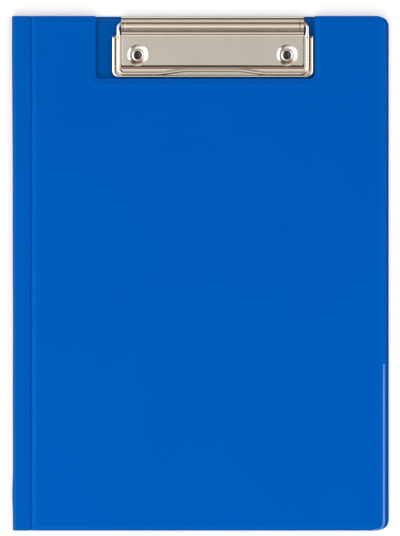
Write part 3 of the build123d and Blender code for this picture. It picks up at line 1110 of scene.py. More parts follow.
@dataclass
class FrontCover:
    """Front cover: greyboard between two films, with the notch, the upper spine strip and the pocket."""

    sizes: FolderSizes
    film_finish: Material
    shaded_lining_finish: Material
    clear_finish: Material
    bead_finish: Material
    board_finish: Material
    body: Body = Body.FRONT_COVER
    outer_relief: float = 1.0
    inner_relief: float = 0.0
    crease_setback: float = 0.4
    crease_reach: float = 4.0
    wide_step: float = 0.2
    inner_bulge: float = -0.1
    bead_width: float = 1.2
    bead_height: float = 0.35
    bead_tail: float = 2.0
    bead_start: float = 0.5
    bead_step: float = 4.0
    bead_length: float = 96.0
    bead_taper: tuple[float, float] = (0.7, 0.3)

    def outline(self) -> CoverOutline:
        """Gives the cover's outline.

        Returns:
            The outline, whose notch leaves its gaps round the jaw.
        """
        _, high = node_extent("cover_outer_film")
        jaw_low, jaw_high = node_extent("jaw_channel")
        sizes = self.sizes
        return CoverOutline(
            high[0],
            sizes.half_height,
            sizes.cover_foot_x,
            sizes.cover_corner_radius,
            sizes.press,
            notch_left=jaw_low[0] - sizes.notch_gap_left,
            notch_right=jaw_high[0] + sizes.notch_gap_right,
            notch_y=jaw_low[1] - sizes.notch_gap_front,
        )

    def strip_places(self) -> np.ndarray:
        """Places the strip's points across the spine.

        Returns:
            The places, closest at the crease.
        """
        foot = self.sizes.cover_foot_x
        near = foot - self.crease_reach
        wide = np.linspace(self.sizes.strip_end_x, near - self.wide_step, 7)
        return np.concatenate([wide, np.linspace(near, foot, 21)])

    def build(self, frame: dict) -> None:
        """Makes the films and the pocket and dresses the board.

        Args:
            frame: The loaded CAD model.
        """
        sizes, outline, strip = self.sizes, self.outline(), self.strip_places()
        crease = Crease(x=sizes.cover_foot_x - self.crease_setback)
        _, high = node_extent("cover_outer_film")
        levels, relief = (sizes.fold_high_z, high[2]), self.outer_relief
        outer = PressedFilm(outline, Facing.UP, *levels, relief, crease, strip)
        piece = outer.skin().piece("cover_outer_film_sheet", self.film_finish, sizes.film)
        dress(piece, self.body, Slot.BLUE_FILM, "cover_outer_film", "spine_upper_outer_film")
        low, _ = node_extent("cover_inner_film")
        levels, relief = (sizes.fold_high_z - 2 * sizes.film, low[2]), self.inner_relief
        inner = PressedFilm(outline, Facing.DOWN, *levels, relief, crease, strip, self.inner_bulge)
        piece = inner.skin().piece("cover_inner_film_sheet", self.shaded_lining_finish, sizes.film)
        dress(piece, self.body, Slot.BLUE_FILM, "cover_inner_film", "spine_upper_inner_film")
        self.build_pocket(crease)
        self.build_bead()
        refinish(frame, "cover_board", self.board_finish)

    def build_pocket(self, crease: Crease) -> None:
        """Makes the clear pocket film.

        Args:
            crease: The cover's crease.
        """
        sizes, cover = self.sizes, self.outline()
        low, high = node_extent("cover_pocket")
        shape = (cover.right, cover.half_height, cover.foot_x, cover.corner_radius, cover.press)
        outline = PocketOutline(*shape, top_y=high[1])
        weld_z = sizes.fold_high_z - 2 * sizes.film - sizes.pocket_film
        sheet = PressedFilm(outline, Facing.DOWN, weld_z, low[2], self.inner_relief, crease)
        piece = sheet.skin().piece("cover_pocket_sheet", self.clear_finish, sizes.pocket_film)
        dress(piece, self.body, Slot.CLEAR_FILM, "cover_pocket")

    def build_bead(self) -> None:
        """Makes the bead that the pocket's weld leaves along the cover's edge, tapered at its ends."""
        cover, half = self.outline(), self.bead_width / 2
        _, high = node_extent("cover_pocket")
        right, bottom = cover.right - half, half - cover.half_height
        end_x = right - cover.corner_radius - self.bead_tail
        corners = [(right, high[1]), (right, bottom), (end_x, bottom)]
        evenly = np.arange(self.bead_start, self.bead_length, self.bead_step)
        runs = {0: evenly, 1: self.bead_start * np.array([1.0, 2.0])}
        path = rounded_path(corners, [0, cover.corner_radius - half, 0], runs=runs)
        taper = np.ones(len(path))
        taper[[0, -2]], taper[-1] = self.bead_taper
        skin = Surface()
        carried_round(skin, path, self.sizes.fold_high_z, half * taper, self.bead_height * taper)
        dress(skin.piece("cover_pocket_weld_bead", self.bead_finish), self.body, Slot.CLEAR_FILM)


@dataclass
class Spine:
    """Folded spine: the crease at the back, the lower strip and the U-shaped fold, in two films."""

    sizes: FolderSizes
    film_finish: Material
    shaded_lining_finish: Material
    fold_steps: int = 14
    crease_rows: int = 13
    strip_rows: int = 9
    lead_shares: tuple[float, ...] = (1.0, 0.6, 0.25)
    end_places: tuple[float, ...] = (
        0.0, 0.12, 0.3, 0.5, 0.85, 1.2, 1.4, 1.6, 1.8, 2.0, 2.2, 2.5, 3.0, 4.3, 6.8
    )
    middle_inset: float = 11.8
    middle_columns: int = 60
    swell: float = 0.55
    swell_start: float = 20.0
    swell_length: float = 130.0
    kink: float = 0.45
    kink_y: float = -137.0
    kink_width: float = 10.0
    short_wave: float = 0.06
    short_length: float = 17.0
    long_wave: float = 0.05
    long_length: float = 41.0
    long_start: float = 1.0
    even_reach: float = 0.1

    def across(self) -> np.ndarray:
        """Places the points along the spine.

        Returns:
            The places from the upper end down, closest at the ends.
        """
        half = self.sizes.half_height
        ends, middle = half - np.array(self.end_places), half - self.middle_inset
        return np.concatenate([ends, np.linspace(middle, -middle, self.middle_columns), -ends[::-1]])

    def wave(self, y: np.ndarray) -> np.ndarray:
        """Says how far the fold stands out: a wider top, a kink low down, and two slow sine waves.

        Args:
            y: Places along the spine.

        Returns:
            The reach beyond the fold's even radius.
        """
        top = self.swell * smooth_rise((y - self.swell_start) / self.swell_length)
        kink = self.kink * bell(y, self.kink_y, self.kink_width)
        short = self.short_wave * np.sin(y / self.short_length)
        long = self.long_wave * np.sin(y / self.long_length + self.long_start)
        return top + kink + short + long + self.even_reach

    def flat_strip(self, places: np.ndarray, height: float, name: str, finish: Material) -> Piece:
        """Makes a level film strip, with its outer side down.

        Args:
            places: Of its points across the spine.
            height: Of its outer side.
            name: Of the piece.
            finish: Of the piece.

        Returns:
            The piece.
        """
        skin = Surface()
        skin.grid(at_level(crossed(places, self.across()), height), flip=True)
        return skin.piece(name, finish, self.sizes.film)

    def quarter(self, facing: Facing, radius: float, name: str, finish: Material) -> Piece:
        """Makes a quarter of the fold and the flat lead that runs into the strip beside it.

        A point of the fold lies the radius and the wave times the sine of its angle to the
        left of the fold's middle, and the radius times the cosine below or above it.

        Args:
            facing: Up for the upper quarter, down for the lower one.
            radius: Of its outer side.
            name: Of the piece.
            finish: Of the piece.

        Returns:
            The piece.
        """
        sizes, y = self.sizes, self.across()
        angle = np.linspace(0, np.pi / 2, self.fold_steps + 1)
        lead = sizes.fold_x + sizes.fold_lead * np.array(self.lead_shares)
        reach = radius + self.wave(y)
        curve_x = sizes.fold_x - np.sin(angle)[:, None] * reach[None]
        x = np.concatenate([np.broadcast_to(lead[:, None], (len(lead), len(y))), curve_x])
        drop = radius * np.concatenate([np.ones(len(lead)), np.cos(angle)])
        height = sizes.fold_z + facing.value * drop
        points = np.stack(np.broadcast_arrays(x, y[None], height[:, None]), axis=-1)
        skin = Surface()
        skin.grid(points, flip=facing is Facing.UP)
        return skin.piece(name, finish, sizes.film)

    def build(self) -> None:
        """Makes the pieces of the outer and the inner film."""
        sizes = self.sizes
        start = sizes.back_foot_x
        end = start - 2 * sizes.crease_half_width
        bottom, top = sizes.fold_low_z * MM, sizes.fold_high_z * MM
        crease = (start * MM, 0, bottom), (end * MM, 0, bottom)
        low_lead, high_lead = (sizes.fold_x * MM, 0, bottom), (sizes.fold_x * MM, 0, top)
        tip = (sizes.left * MM, 0, sizes.fold_z * MM)
        layers = {"outer": self.film_finish, "inner": self.shaded_lining_finish}
        for layer, (film, finish) in enumerate(layers.items()):
            height = sizes.fold_low_z + layer * sizes.film
            radius = sizes.fold_radius - layer * sizes.film
            places = np.linspace(end, start, self.crease_rows)
            piece = self.flat_strip(places, height, f"back_crease_{film}_film_sheet", finish)
            dress_bend(piece, (Body.BACK_PANEL, Body.SPINE_LOWER), *crease)
            places = np.linspace(sizes.strip_end_x, end, self.strip_rows)
            piece = self.flat_strip(places, height, f"spine_lower_{film}_film_sheet", finish)
            dress(piece, Body.SPINE_LOWER, Slot.BLUE_FILM, f"spine_lower_{film}_film")
            piece = self.quarter(Facing.DOWN, radius, f"spine_fold_lower_{film}_film_sheet", finish)
            dress_bend(piece, (Body.SPINE_LOWER, Body.SPINE_FOLD), low_lead, tip, f"spine_fold_{film}_film")
            piece = self.quarter(Facing.UP, radius, f"spine_fold_upper_{film}_film_sheet", finish)
            dress_bend(piece, (Body.SPINE_FOLD, Body.FRONT_COVER), tip, high_lead, f"spine_fold_{film}_film")


@dataclass
class BasePlate:
    """Clip base plate: pressed tray with two dished rivet seats, and a barrel rolled from its back edge."""

    finish: Material
    shade_finish: Material
    sheet: float = 0.7
    rise: float = 1.8
    barrel_width: float = 7.7
    back_overhang: float = 0.5
    hem_width: float = 2.0
    hem_rise: float = 1.5
    hem_gap: float = 0.75
    hem_lean: float = 0.3
    hem_front_radius: float = 0.2
    hem_back_radius: float = 0.25
    hem_low_radius: float = 0.5
    seam_lead: float = 3.1
    # The next five sizes are for the dark strips of painted shade in the hem's seam and before the front
    # edge.
    seam_depth: float = 0.45
    seam_inset: float = 0.05
    seam_sheet: float = 0.2
    flange_reach: float = 0.8
    flange_height: float = 0.3
    foot_radius: float = 1.0
    foot_bead_setback: float = 2.05
    foot_bead_height: float = 0.16
    foot_bead_width: float = 0.32
    foot_rows: tuple[float, float, int] = (0.1, 1.8, 16)
    arch_radius: float = 3.8
    corner_radius: float = 1.6
    edge_radius: float = 0.5
    edge_lead: float = 0.5
    wall_flare: float = 0.1
    bulge_edge: float = 0.4
    bulge_radius: float = 7.0
    bulge_share: float = 0.2
    seat_radius: float = 6.66
    dish_radius: float = 6.42
    dish_edge: float = 0.2
    floor_radius: float = 5.0
    cup_radius: float = 4.9
    hole_radius: float = 2.9
    leaf_depth: float = 10.55
    crimp_inset: float = 1.9
    crimp_width: float = 0.7
    crimp_depth: float = 0.1
    crimp_foot: float = 0.6
    crimp_fade: float = 1.4
    crimp_reach: float = 2.6
    crimp_columns: int = 15
    plain_start: float = 4.0
    plain_gap: float = 1.0
    plain_columns: int = 9
    bearing_radius: float = 1.85
    bore_radius: float = 1.15
    bearing_length: float = 1.6
    bearing_foot: float = 1.3
    bearing_turn: tuple[float, float] = (-55.0, 235.0)
    axis_rise: float = 2.75
    axis_setback: float = 4.3
    # The tongue's sizes are for the dark tongues of painted shade at the barrel's ends.
    tongue_reach: float = 1.0
    tongue_root: float = 1.0
    tongue_lead: float = 0.5
    tongue_slant: tuple[float, float] = (0.6, 2.4)
    tongue_radii: tuple[float, ...] = (0, 0.5, 0.8, 0.5, 0)
    tongue_sheet: float = 0.5

    def __post_init__(self) -> None:
        """Reads the plate's place."""
        self.low, self.high = node_extent("clip_base_plate")
        self.centre = (self.low[0] + self.high[0]) / 2
        self.half = (self.high[0] - self.low[0]) / 2
        self.front = self.low[1] + self.bulge_edge
        self.top = self.low[2] + self.rise
        self.hem_y = self.high[1] + self.back_overhang
        self.barrel_back = self.hem_y - self.hem_width
        self.barrel_front = self.barrel_back - self.barrel_width
        self.seam_y = self.barrel_front - self.seam_lead

    def rim_path(self, inset: float) -> np.ndarray:
        """Points along the plate's three turned-down edges at an inset.

        Each seat bulges out of the front edge along a circle, which draws in by only a share
        of the inset, so that the seat keeps its room.

        Args:
            inset: Distance from the plate's outer side.

        Returns:
            The points, from the left end of the seam to its right end.
        """
        front, radii = self.front + inset, [0, self.corner_radius - inset, 0]
        left, right = self.low[0] + inset, self.high[0] - inset
        bulge = self.bulge_radius - self.bulge_share * inset
        middle = (self.centre, front)
        parts = [rounded_path([(left, self.seam_y), (left, front), middle], radii)[:-1]]
        for x, y in rivet_centres():
            reach = math.acos((y - front) / bulge)
            angle = np.linspace(-reach, reach, 17)
            parts.append(np.stack([x + bulge * np.sin(angle), y - bulge * np.cos(angle)], axis=-1))
        parts.append(rounded_path([middle, (right, front), (right, self.seam_y)], radii)[1:])
        return np.concatenate(parts)

    def tray(self) -> Surface:
        """Builds the flat plate with its turned-down edges and the two dished seats.

        A point of the turned edge lies one less the cosine of its turn further in, and the
        sine of it higher, both times the edge's radius.

        Returns:
            The tray's skin.
        """
        skin = Surface()
        angle, radius = np.linspace(0, np.pi / 2, 7), self.edge_radius
        turned = radius * (1 - np.cos(angle))
        insets = np.concatenate([[-self.wall_flare], turned, [radius + self.edge_lead]])
        levels = self.top - radius + radius * np.sin(angle)
        levels = np.concatenate([[self.low[2]], levels, [self.top]])
        rim = at_level(np.stack([self.rim_path(inset) for inset in insets]), levels[:, None, None])
        skin.grid(rim)
        floor = self.low[2] + self.sheet
        seat = [(self.seat_radius, self.top), (self.dish_radius, self.top)]
        seat += [(self.floor_radius, floor), (self.hole_radius, floor)]
        profile = rounded_path(seat, [0, self.dish_edge, self.cup_radius, 0], arc_steps=14)
        for centre in rivet_centres():
            revolved(skin, centre, profile, flip=False)
        around = full_turn(ROUND_POINTS)
        rings = [on_circle(centre, self.seat_radius, around) for centre in rivet_centres()]
        skin.fill([rim[-1], *(at_level(ring, self.top) for ring in rings)])
        return skin

    def barrel(self) -> Surface:
        """Builds the barrel, its hem and the leaf below it, drawn in round the crimps near both ends.

        The section is a rounded path across the barrel. At a crimp its arch moves towards the
        barrel's axis by a bell curve along the barrel.

        Returns:
            The barrel's skin.
        """
        low, top, back, hem = self.low[2], self.high[2], self.barrel_back, self.hem_y
        front, shelf, gap = self.barrel_front, self.low[2] + self.hem_rise, self.hem_gap
        floor, lean, arch = low + self.sheet, self.hem_lean / 2, self.arch_radius
        corners = [(self.seam_y, self.top), (front, self.top), (front, top), (back, top), (back, floor)]
        corners += [(back + gap, floor), (back + gap, shelf - lean), (hem, shelf + lean)]
        corners += [(hem, low), (hem - self.leaf_depth, low)]
        radii = [0, self.foot_radius, arch, arch, gap / 2, gap / 2]
        radii += [self.hem_front_radius, self.hem_back_radius, self.hem_low_radius, 0]
        section = rounded_path(corners, radii, arc_steps=12, runs={0: np.linspace(*self.foot_rows)})
        bead_y = front - self.foot_bead_setback
        flat_part = (section[:, 0] < front) & (section[:, 1] > self.top - self.sheet)
        bead = bell(section[:, 0], bead_y, self.foot_bead_width)
        section[:, 1] += flat_part * self.foot_bead_height * bead
        crimp_x = self.half - self.crimp_inset
        crimp = np.linspace(-self.crimp_reach, self.crimp_reach, self.crimp_columns)
        near = crimp_x + self.crimp_width * crimp
        plain = np.linspace(self.plain_start, near[0] - self.plain_gap, self.plain_columns)
        half = np.concatenate([plain, near, [self.half]])
        along = np.concatenate([-half[::-1], [0.0], half])
        squeeze = self.crimp_depth * bell(np.abs(along), crimp_x, self.crimp_width)
        outward = section - np.array([(front + back) / 2, top - (back - front) / 2])
        distance = np.linalg.norm(outward, axis=1, keepdims=True)
        raised = smooth_rise((section[:, 1:] - self.top - self.crimp_foot) / self.crimp_fade)
        moved = section[:, None] - (outward / distance * raised)[:, None] * squeeze[None, :, None]
        x = np.broadcast_to(self.centre + along[None, :, None], (len(section), len(along), 1))
        skin = Surface()
        skin.grid(np.concatenate([x, moved], axis=-1))
        return skin

    def bearings(self) -> Surface:
        """Builds the two crimped bearings: a ring round the wire on a foot that stands in the barrel.

        Returns:
            The skin of both.
        """
        skin = Surface()
        axis = (self.high[1] - self.axis_setback, self.low[2] + self.axis_rise)
        foot = np.array([[axis[0] + side * self.bearing_foot, self.low[2] + self.sheet] for side in (-1, 1)])
        turn = np.radians(np.linspace(*self.bearing_turn, 30))
        outer = np.concatenate([on_circle(axis, self.bearing_radius, turn), foot])
        bore = on_circle(axis, self.bore_radius, full_turn(32))
        for side in Side:
            middle = self.centre + side.value * (self.half - self.crimp_inset)
            ends = middle + self.bearing_length / 2 * np.array([-1.0, 1.0])
            left, right = ([at_level(loop, end)[:, [2, 0, 1]] for loop in (outer, bore)] for end in ends)
            for rows, flip in zip(zip(left, right), (False, True)):
                skin.grid(np.stack(rows), closed=True, flip=flip)
            for loops, flip in ((left, True), (right, False)):
                skin.fill(loops, flip=flip, flat=(1, 2))
        return skin

    def seam(self, low_y: float, high_y: float, level: float) -> Surface:
        """Builds a dark strip of painted shade along the bottom of a seam in the plate.

        Args:
            low_y: Place of its front edge.
            high_y: Place of its back edge.
            level: Height of its upper side.

        Returns:
            The strip's skin.
        """
        ends = self.centre + (self.half - self.seam_inset) * np.array([-1.0, 1.0])
        skin = Surface()
        skin.grid(at_level(crossed(ends, [low_y, high_y]), level), flip=True)
        return skin

    def leaf_end(self, side: Side) -> Surface:
        """Builds a dark tongue of painted shade that stands out of the barrel's open end under the wire.

        Args:
            side: End that it stands out of.

        Returns:
            The tongue's skin.
        """
        tip = self.centre + side.value * (self.half + self.tongue_reach)
        root = self.centre + side.value * (self.half - self.tongue_root)
        front, back = self.barrel_front - self.tongue_lead, self.high[1] - self.axis_setback
        across, along = self.tongue_slant
        path = [(root, front), (tip - side.value * across, front), (tip, front + along)]
        outline = rounded_path([*path, (tip, back), (root, back)], self.tongue_radii)
        skin = Surface()
        skin.fill([at_level(outline, self.low[2] + self.sheet)])
        return skin

    def build(self) -> None:
        """Makes the plate's pieces."""
        tray = self.tray().piece("clip_plate_tray", self.finish, self.sheet)
        dress(tray, Body.BACK_PANEL, Slot.NICKEL_PLATE, "clip_base_plate")
        barrel = self.barrel().piece("clip_plate_barrel", self.finish, self.sheet)
        dress(barrel, Body.BACK_PANEL, Slot.NICKEL_PLATE)
        dress(self.bearings().piece("clip_plate_bearings", self.finish), Body.BACK_PANEL, Slot.NICKEL_PLATE)
        # The hem's seam, the gap before the front edge and both barrel ends get dark sheets of painted
        # shade.
        back, level = self.barrel_back - self.seam_inset, self.low[2]
        far = back + self.hem_gap + 2 * self.seam_inset
        hem = self.seam(back, far, level + self.hem_rise - self.seam_depth)
        flange = self.seam(self.front - self.flange_reach, self.front, level + self.flange_height)
        painted_shade = {"hem_seam_painted_shade": (hem, self.seam_sheet), "front_gap_painted_shade": (flange, self.seam_sheet)}
        for end, side in enumerate(Side, 1):
            painted_shade[f"leaf_end_{end}"] = self.leaf_end(side), self.tongue_sheet
        for name, (skin, sheet) in painted_shade.items():
            piece = skin.piece(f"clip_plate_{name}", self.shade_finish, sheet)
            dress(piece, Body.BACK_PANEL, Slot.NICKEL_PLATE)


@dataclass
class Rivets:
    """Two semi-tubular rivets: flat head let into the back, tube curled over on the dished seat."""

    finish: Material
    shade_finish: Material
    shank_radius: float = 2.85
    bore_radius: float = 2.45
    curl_radius: float = 3.65
    head_height: float = 0.8
    bore_floor: float = 0.3
    curl_height: float = 0.65
    # The cup's sizes, and the point's height, are for the dark cup of painted shade in each bore.
    cup_height: float = 2.0
    cup_lift: float = 0.1
    cup_draft: float = 0.01
    cup_corner: float = 0.3
    cup_sheet: float = 0.08
    point_height: float = 0.9
    turned_radii: tuple[float, ...] = (0, 0.5, 0.59, 0.5, 0.1, 0, 0, 0.12, 0.6, 0)

    def build(self) -> None:
        """Makes both rivets from one turned profile, and a dark cup of painted shade inside each tube."""
        for side in (side.name.lower() for side in Side):
            low, high = node_extent(f"clip_rivet_{side}")
            centre, top = tuple((low[:2] + high[:2]) / 2), high[2]
            head, head_top = (high[0] - low[0]) / 2, low[2] + self.head_height
            seat, floor = top - self.curl_height, head_top + self.bore_floor
            bore, curl, shank = self.bore_radius, self.curl_radius, self.shank_radius
            corners = [(0, floor), (bore, floor), (bore, top), (curl, top), (curl, seat), (shank, seat)]
            corners += [(shank, head_top), (head, head_top), (head, low[2]), (0, low[2])]
            cup = [(0, floor + self.cup_lift), (bore, floor + self.point_height)]
            cup += [(bore - self.cup_draft, floor + self.cup_height)]
            turned, dark = Surface(), Surface()
            revolved(turned, centre, rounded_path(corners, self.turned_radii, arc_steps=6), flip=True)
            piece = turned.piece(f"rivet_{side}_turned", self.finish)
            dress(piece, Body.BACK_PANEL, Slot.NICKEL_PLATE, f"clip_rivet_{side}")
            # The cup is painted shade: dark steel where the bore falls into shade.
            revolved(dark, centre, rounded_path(cup, [0, self.cup_corner, 0]), flip=True)
            piece = dark.piece(f"rivet_{side}_bore", self.shade_finish, self.cup_sheet)
            dress(piece, Body.BACK_PANEL, Slot.NICKEL_PLATE)


@dataclass
class Bail:
    """Bail: one spring wire from the barrel round the jaw, bowed in at the middle, and back."""

    finish: Material
    wire_radius: float = 1.1
    shoulder_radius: float = 3.2
    corner_radius: float = 4.3
    bow_depth: float = 2.1
    bow_flat: float = 34.0
    bow_span: float = 64.0
    bow_radius: float = 60.0
    end_gap: float = 6.0
    mark_setback: float = 8.0
    mark_length: float = 0.6
    mark_reach: float = 1.5
    mark_spread: float = 0.1
    mark_depth: float = 0.3

    def build(self) -> None:
        """Makes the wire: a circle carried along straight runs and arcs in a level plane.

        A tool has flattened it a little at one place on each arm, by a bell curve along the wire.
        """
        low, high = node_extent("bail_wire")
        centre, level = (low[0] + high[0]) / 2, (low[2] + high[2]) / 2
        left, right = low[0] + self.wire_radius, high[0] - self.wire_radius
        back, front = high[1] - self.wire_radius, low[1] + self.wire_radius
        bow_y, flat, span = front + self.bow_depth, self.bow_flat / 2, self.bow_span / 2
        gap = self.end_gap / 2
        corners = [(centre - gap, back), (left, back), (left, front), (centre - span, front)]
        corners += [(centre - flat, bow_y), (centre + flat, bow_y)]
        corners += [(centre + span, front), (right, front), (right, back), (centre + gap, back)]
        end = [0, self.shoulder_radius, self.corner_radius]
        radii = [*end, *[self.bow_radius] * 4, *end[::-1]]
        spread = np.linspace(-self.mark_reach, self.mark_reach, 16)
        near_mark = self.mark_setback - self.shoulder_radius + spread
        path = rounded_path(corners, radii, arc_steps=12, runs={1: near_mark, 7: -near_mark[::-1]})
        mark = bell(path[:, 1], back - self.mark_setback, self.mark_length)
        half_width = self.wire_radius * (1 + self.mark_spread * mark)
        half_height = self.wire_radius * (1 - self.mark_depth * mark)
        skin = Surface()
        carried_round(skin, path, level, half_width, half_height)
        dress(skin.piece("bail_drawn_wire", self.finish), Body.CLIP_JAW, Slot.NICKEL_WIRE, "bail_wire")


@dataclass
class Jaw:
    """Jaw channel: pressed tray round the wire, with rolled rims, cut-back wings and a biting lip."""

    finish: Material
    sheet: float = 0.7
    side_flare: float = 1.4
    front_flare: float = 0.4
    wall_height: float = 3.4
    side_floor: float = 4.1
    front_floor: float = 3.8
    corner_radius: float = 2.8
    least_corner: float = 0.35
    bend_radius: float = 0.6
    end_chamfer: float = 2.2
    rim_widths: tuple[float, float] = (1.45, 0.95)
    rim_lean: float = 0.4
    arm_inner_half: float = 56.8
    lip_profile: tuple[tuple[float, float], ...] = ((0, 0), (1.1, 0.18), (2.4, -0.35), (2.65, -1.2))
    lip_radii: tuple[float, ...] = (0, 0.6, 0.15, 0)
    seat_clearance: float = 7.25
    front_inset: float = 0.25

    def build(self) -> None:
        """Makes the channel from its inner side, wall and floor carried along three sides, and the lip.

        The walls at the sides flare further than the front wall. So each point of the section
        has its own reach on the sides and at the front, and one height.
        """
        low, high = node_extent("jaw_channel")
        centre, top, back = (low[0] + high[0]) / 2, high[2], high[1]
        half = (high[0] - low[0]) / 2 - self.side_flare
        front = low[1] + self.front_inset + self.front_flare
        floor = top - self.wall_height + self.sheet
        sections = []
        sides = (self.side_flare, self.front_flare), (self.side_floor, self.front_floor), self.rim_widths
        for flare, depth, rim in zip(*sides):
            wall = [(flare, top - rim - self.rim_lean), (flare, top - self.rim_lean), (flare - rim, top)]
            wall += [(-self.sheet, floor), (-depth, floor)]
            sections.append(rounded_path(wall, [0, rim / 2, rim / 3, self.bend_radius, 0], arc_steps=7))
        rows = []
        for (side, level), (ahead, _) in zip(*sections):
            end = back - self.end_chamfer * ((level - floor) / (top - floor))
            left, right, y = centre - half - side, centre + half + side, front - ahead
            corner = max(self.corner_radius + side, self.least_corner)
            path = rounded_path([(left, end), (left, y), (right, y), (right, end)], [0, corner, corner, 0])
            rows.append(at_level(path, level))
        skin = Surface()
        skin.grid(np.stack(rows))
        piece = skin.piece("jaw_pressed_channel", self.finish, self.sheet)
        dress(piece, Body.CLIP_JAW, Slot.NICKEL_PLATE, "jaw_channel")
        self.build_lip(centre, front + self.front_floor, floor)

    def build_lip(self, centre: float, start: float, floor: float) -> None:
        """Makes the biting lip: the floor raised to a low ridge, then bent down towards the plate.

        The profile is carried along the jaw. Its depth shrinks near a rivet, so that the edge
        keeps off the seat along a circle round the rivet.

        Args:
            centre: Middle of the jaw.
            start: Place where the lip begins.
            floor: Height of the jaw's floor.
        """
        profile = rounded_path(self.lip_profile, self.lip_radii)
        depth = self.lip_profile[-1][0]
        x = centre + np.linspace(-self.arm_inner_half, self.arm_inner_half, 101)
        end = np.full_like(x, start + depth)
        for rivet_x, rivet_y in rivet_centres():
            reach = np.maximum(self.seat_clearance**2 - (x - rivet_x) ** 2, 0)
            end = np.minimum(end, np.where(reach > 0, rivet_y - np.sqrt(reach), end))
        y = start + (end - start)[None] * profile[:, :1] / depth
        skin = Surface()
        skin.grid(np.stack(np.broadcast_arrays(x[None], y, floor + profile[:, 1:]), axis=-1))
        dress(skin.piece("jaw_biting_lip", self.finish, self.sheet), Body.CLIP_JAW, Slot.NICKEL_PLATE)


@dataclass(frozen=True)
class Softbox:
    """Square soft lamp that looks at the folder: its place and the length of its side are in metres.

    The share is the brightness that the lamp alone gives a level white surface. Only a shiny
    one shows in reflections.
    """

    name: str
    place: Triple
    size: float
    share: float
    shiny: bool = False

    def build(self) -> None:
        """Adds the lamp.

        Its power is the share times pi squared times the distance squared, over what share of
        the distance its height is.
        """
        light = bpy.data.lights.new(self.name, "AREA")
        light.size = self.size
        distance = math.dist(self.place, (0, 0, 0))
        light.energy = self.share * math.pi**2 * distance**2 / (self.place[2] / distance)
        lamp = bpy.data.objects.new(self.name, light)
        lamp.location = self.place
        lamp.rotation_euler = (-Vector(self.place)).to_track_quat("-Z", "Y").to_euler()
        lamp.visible_camera = False
        lamp.visible_glossy = self.shiny
        bpy.context.scene.collection.objects.link(lamp)


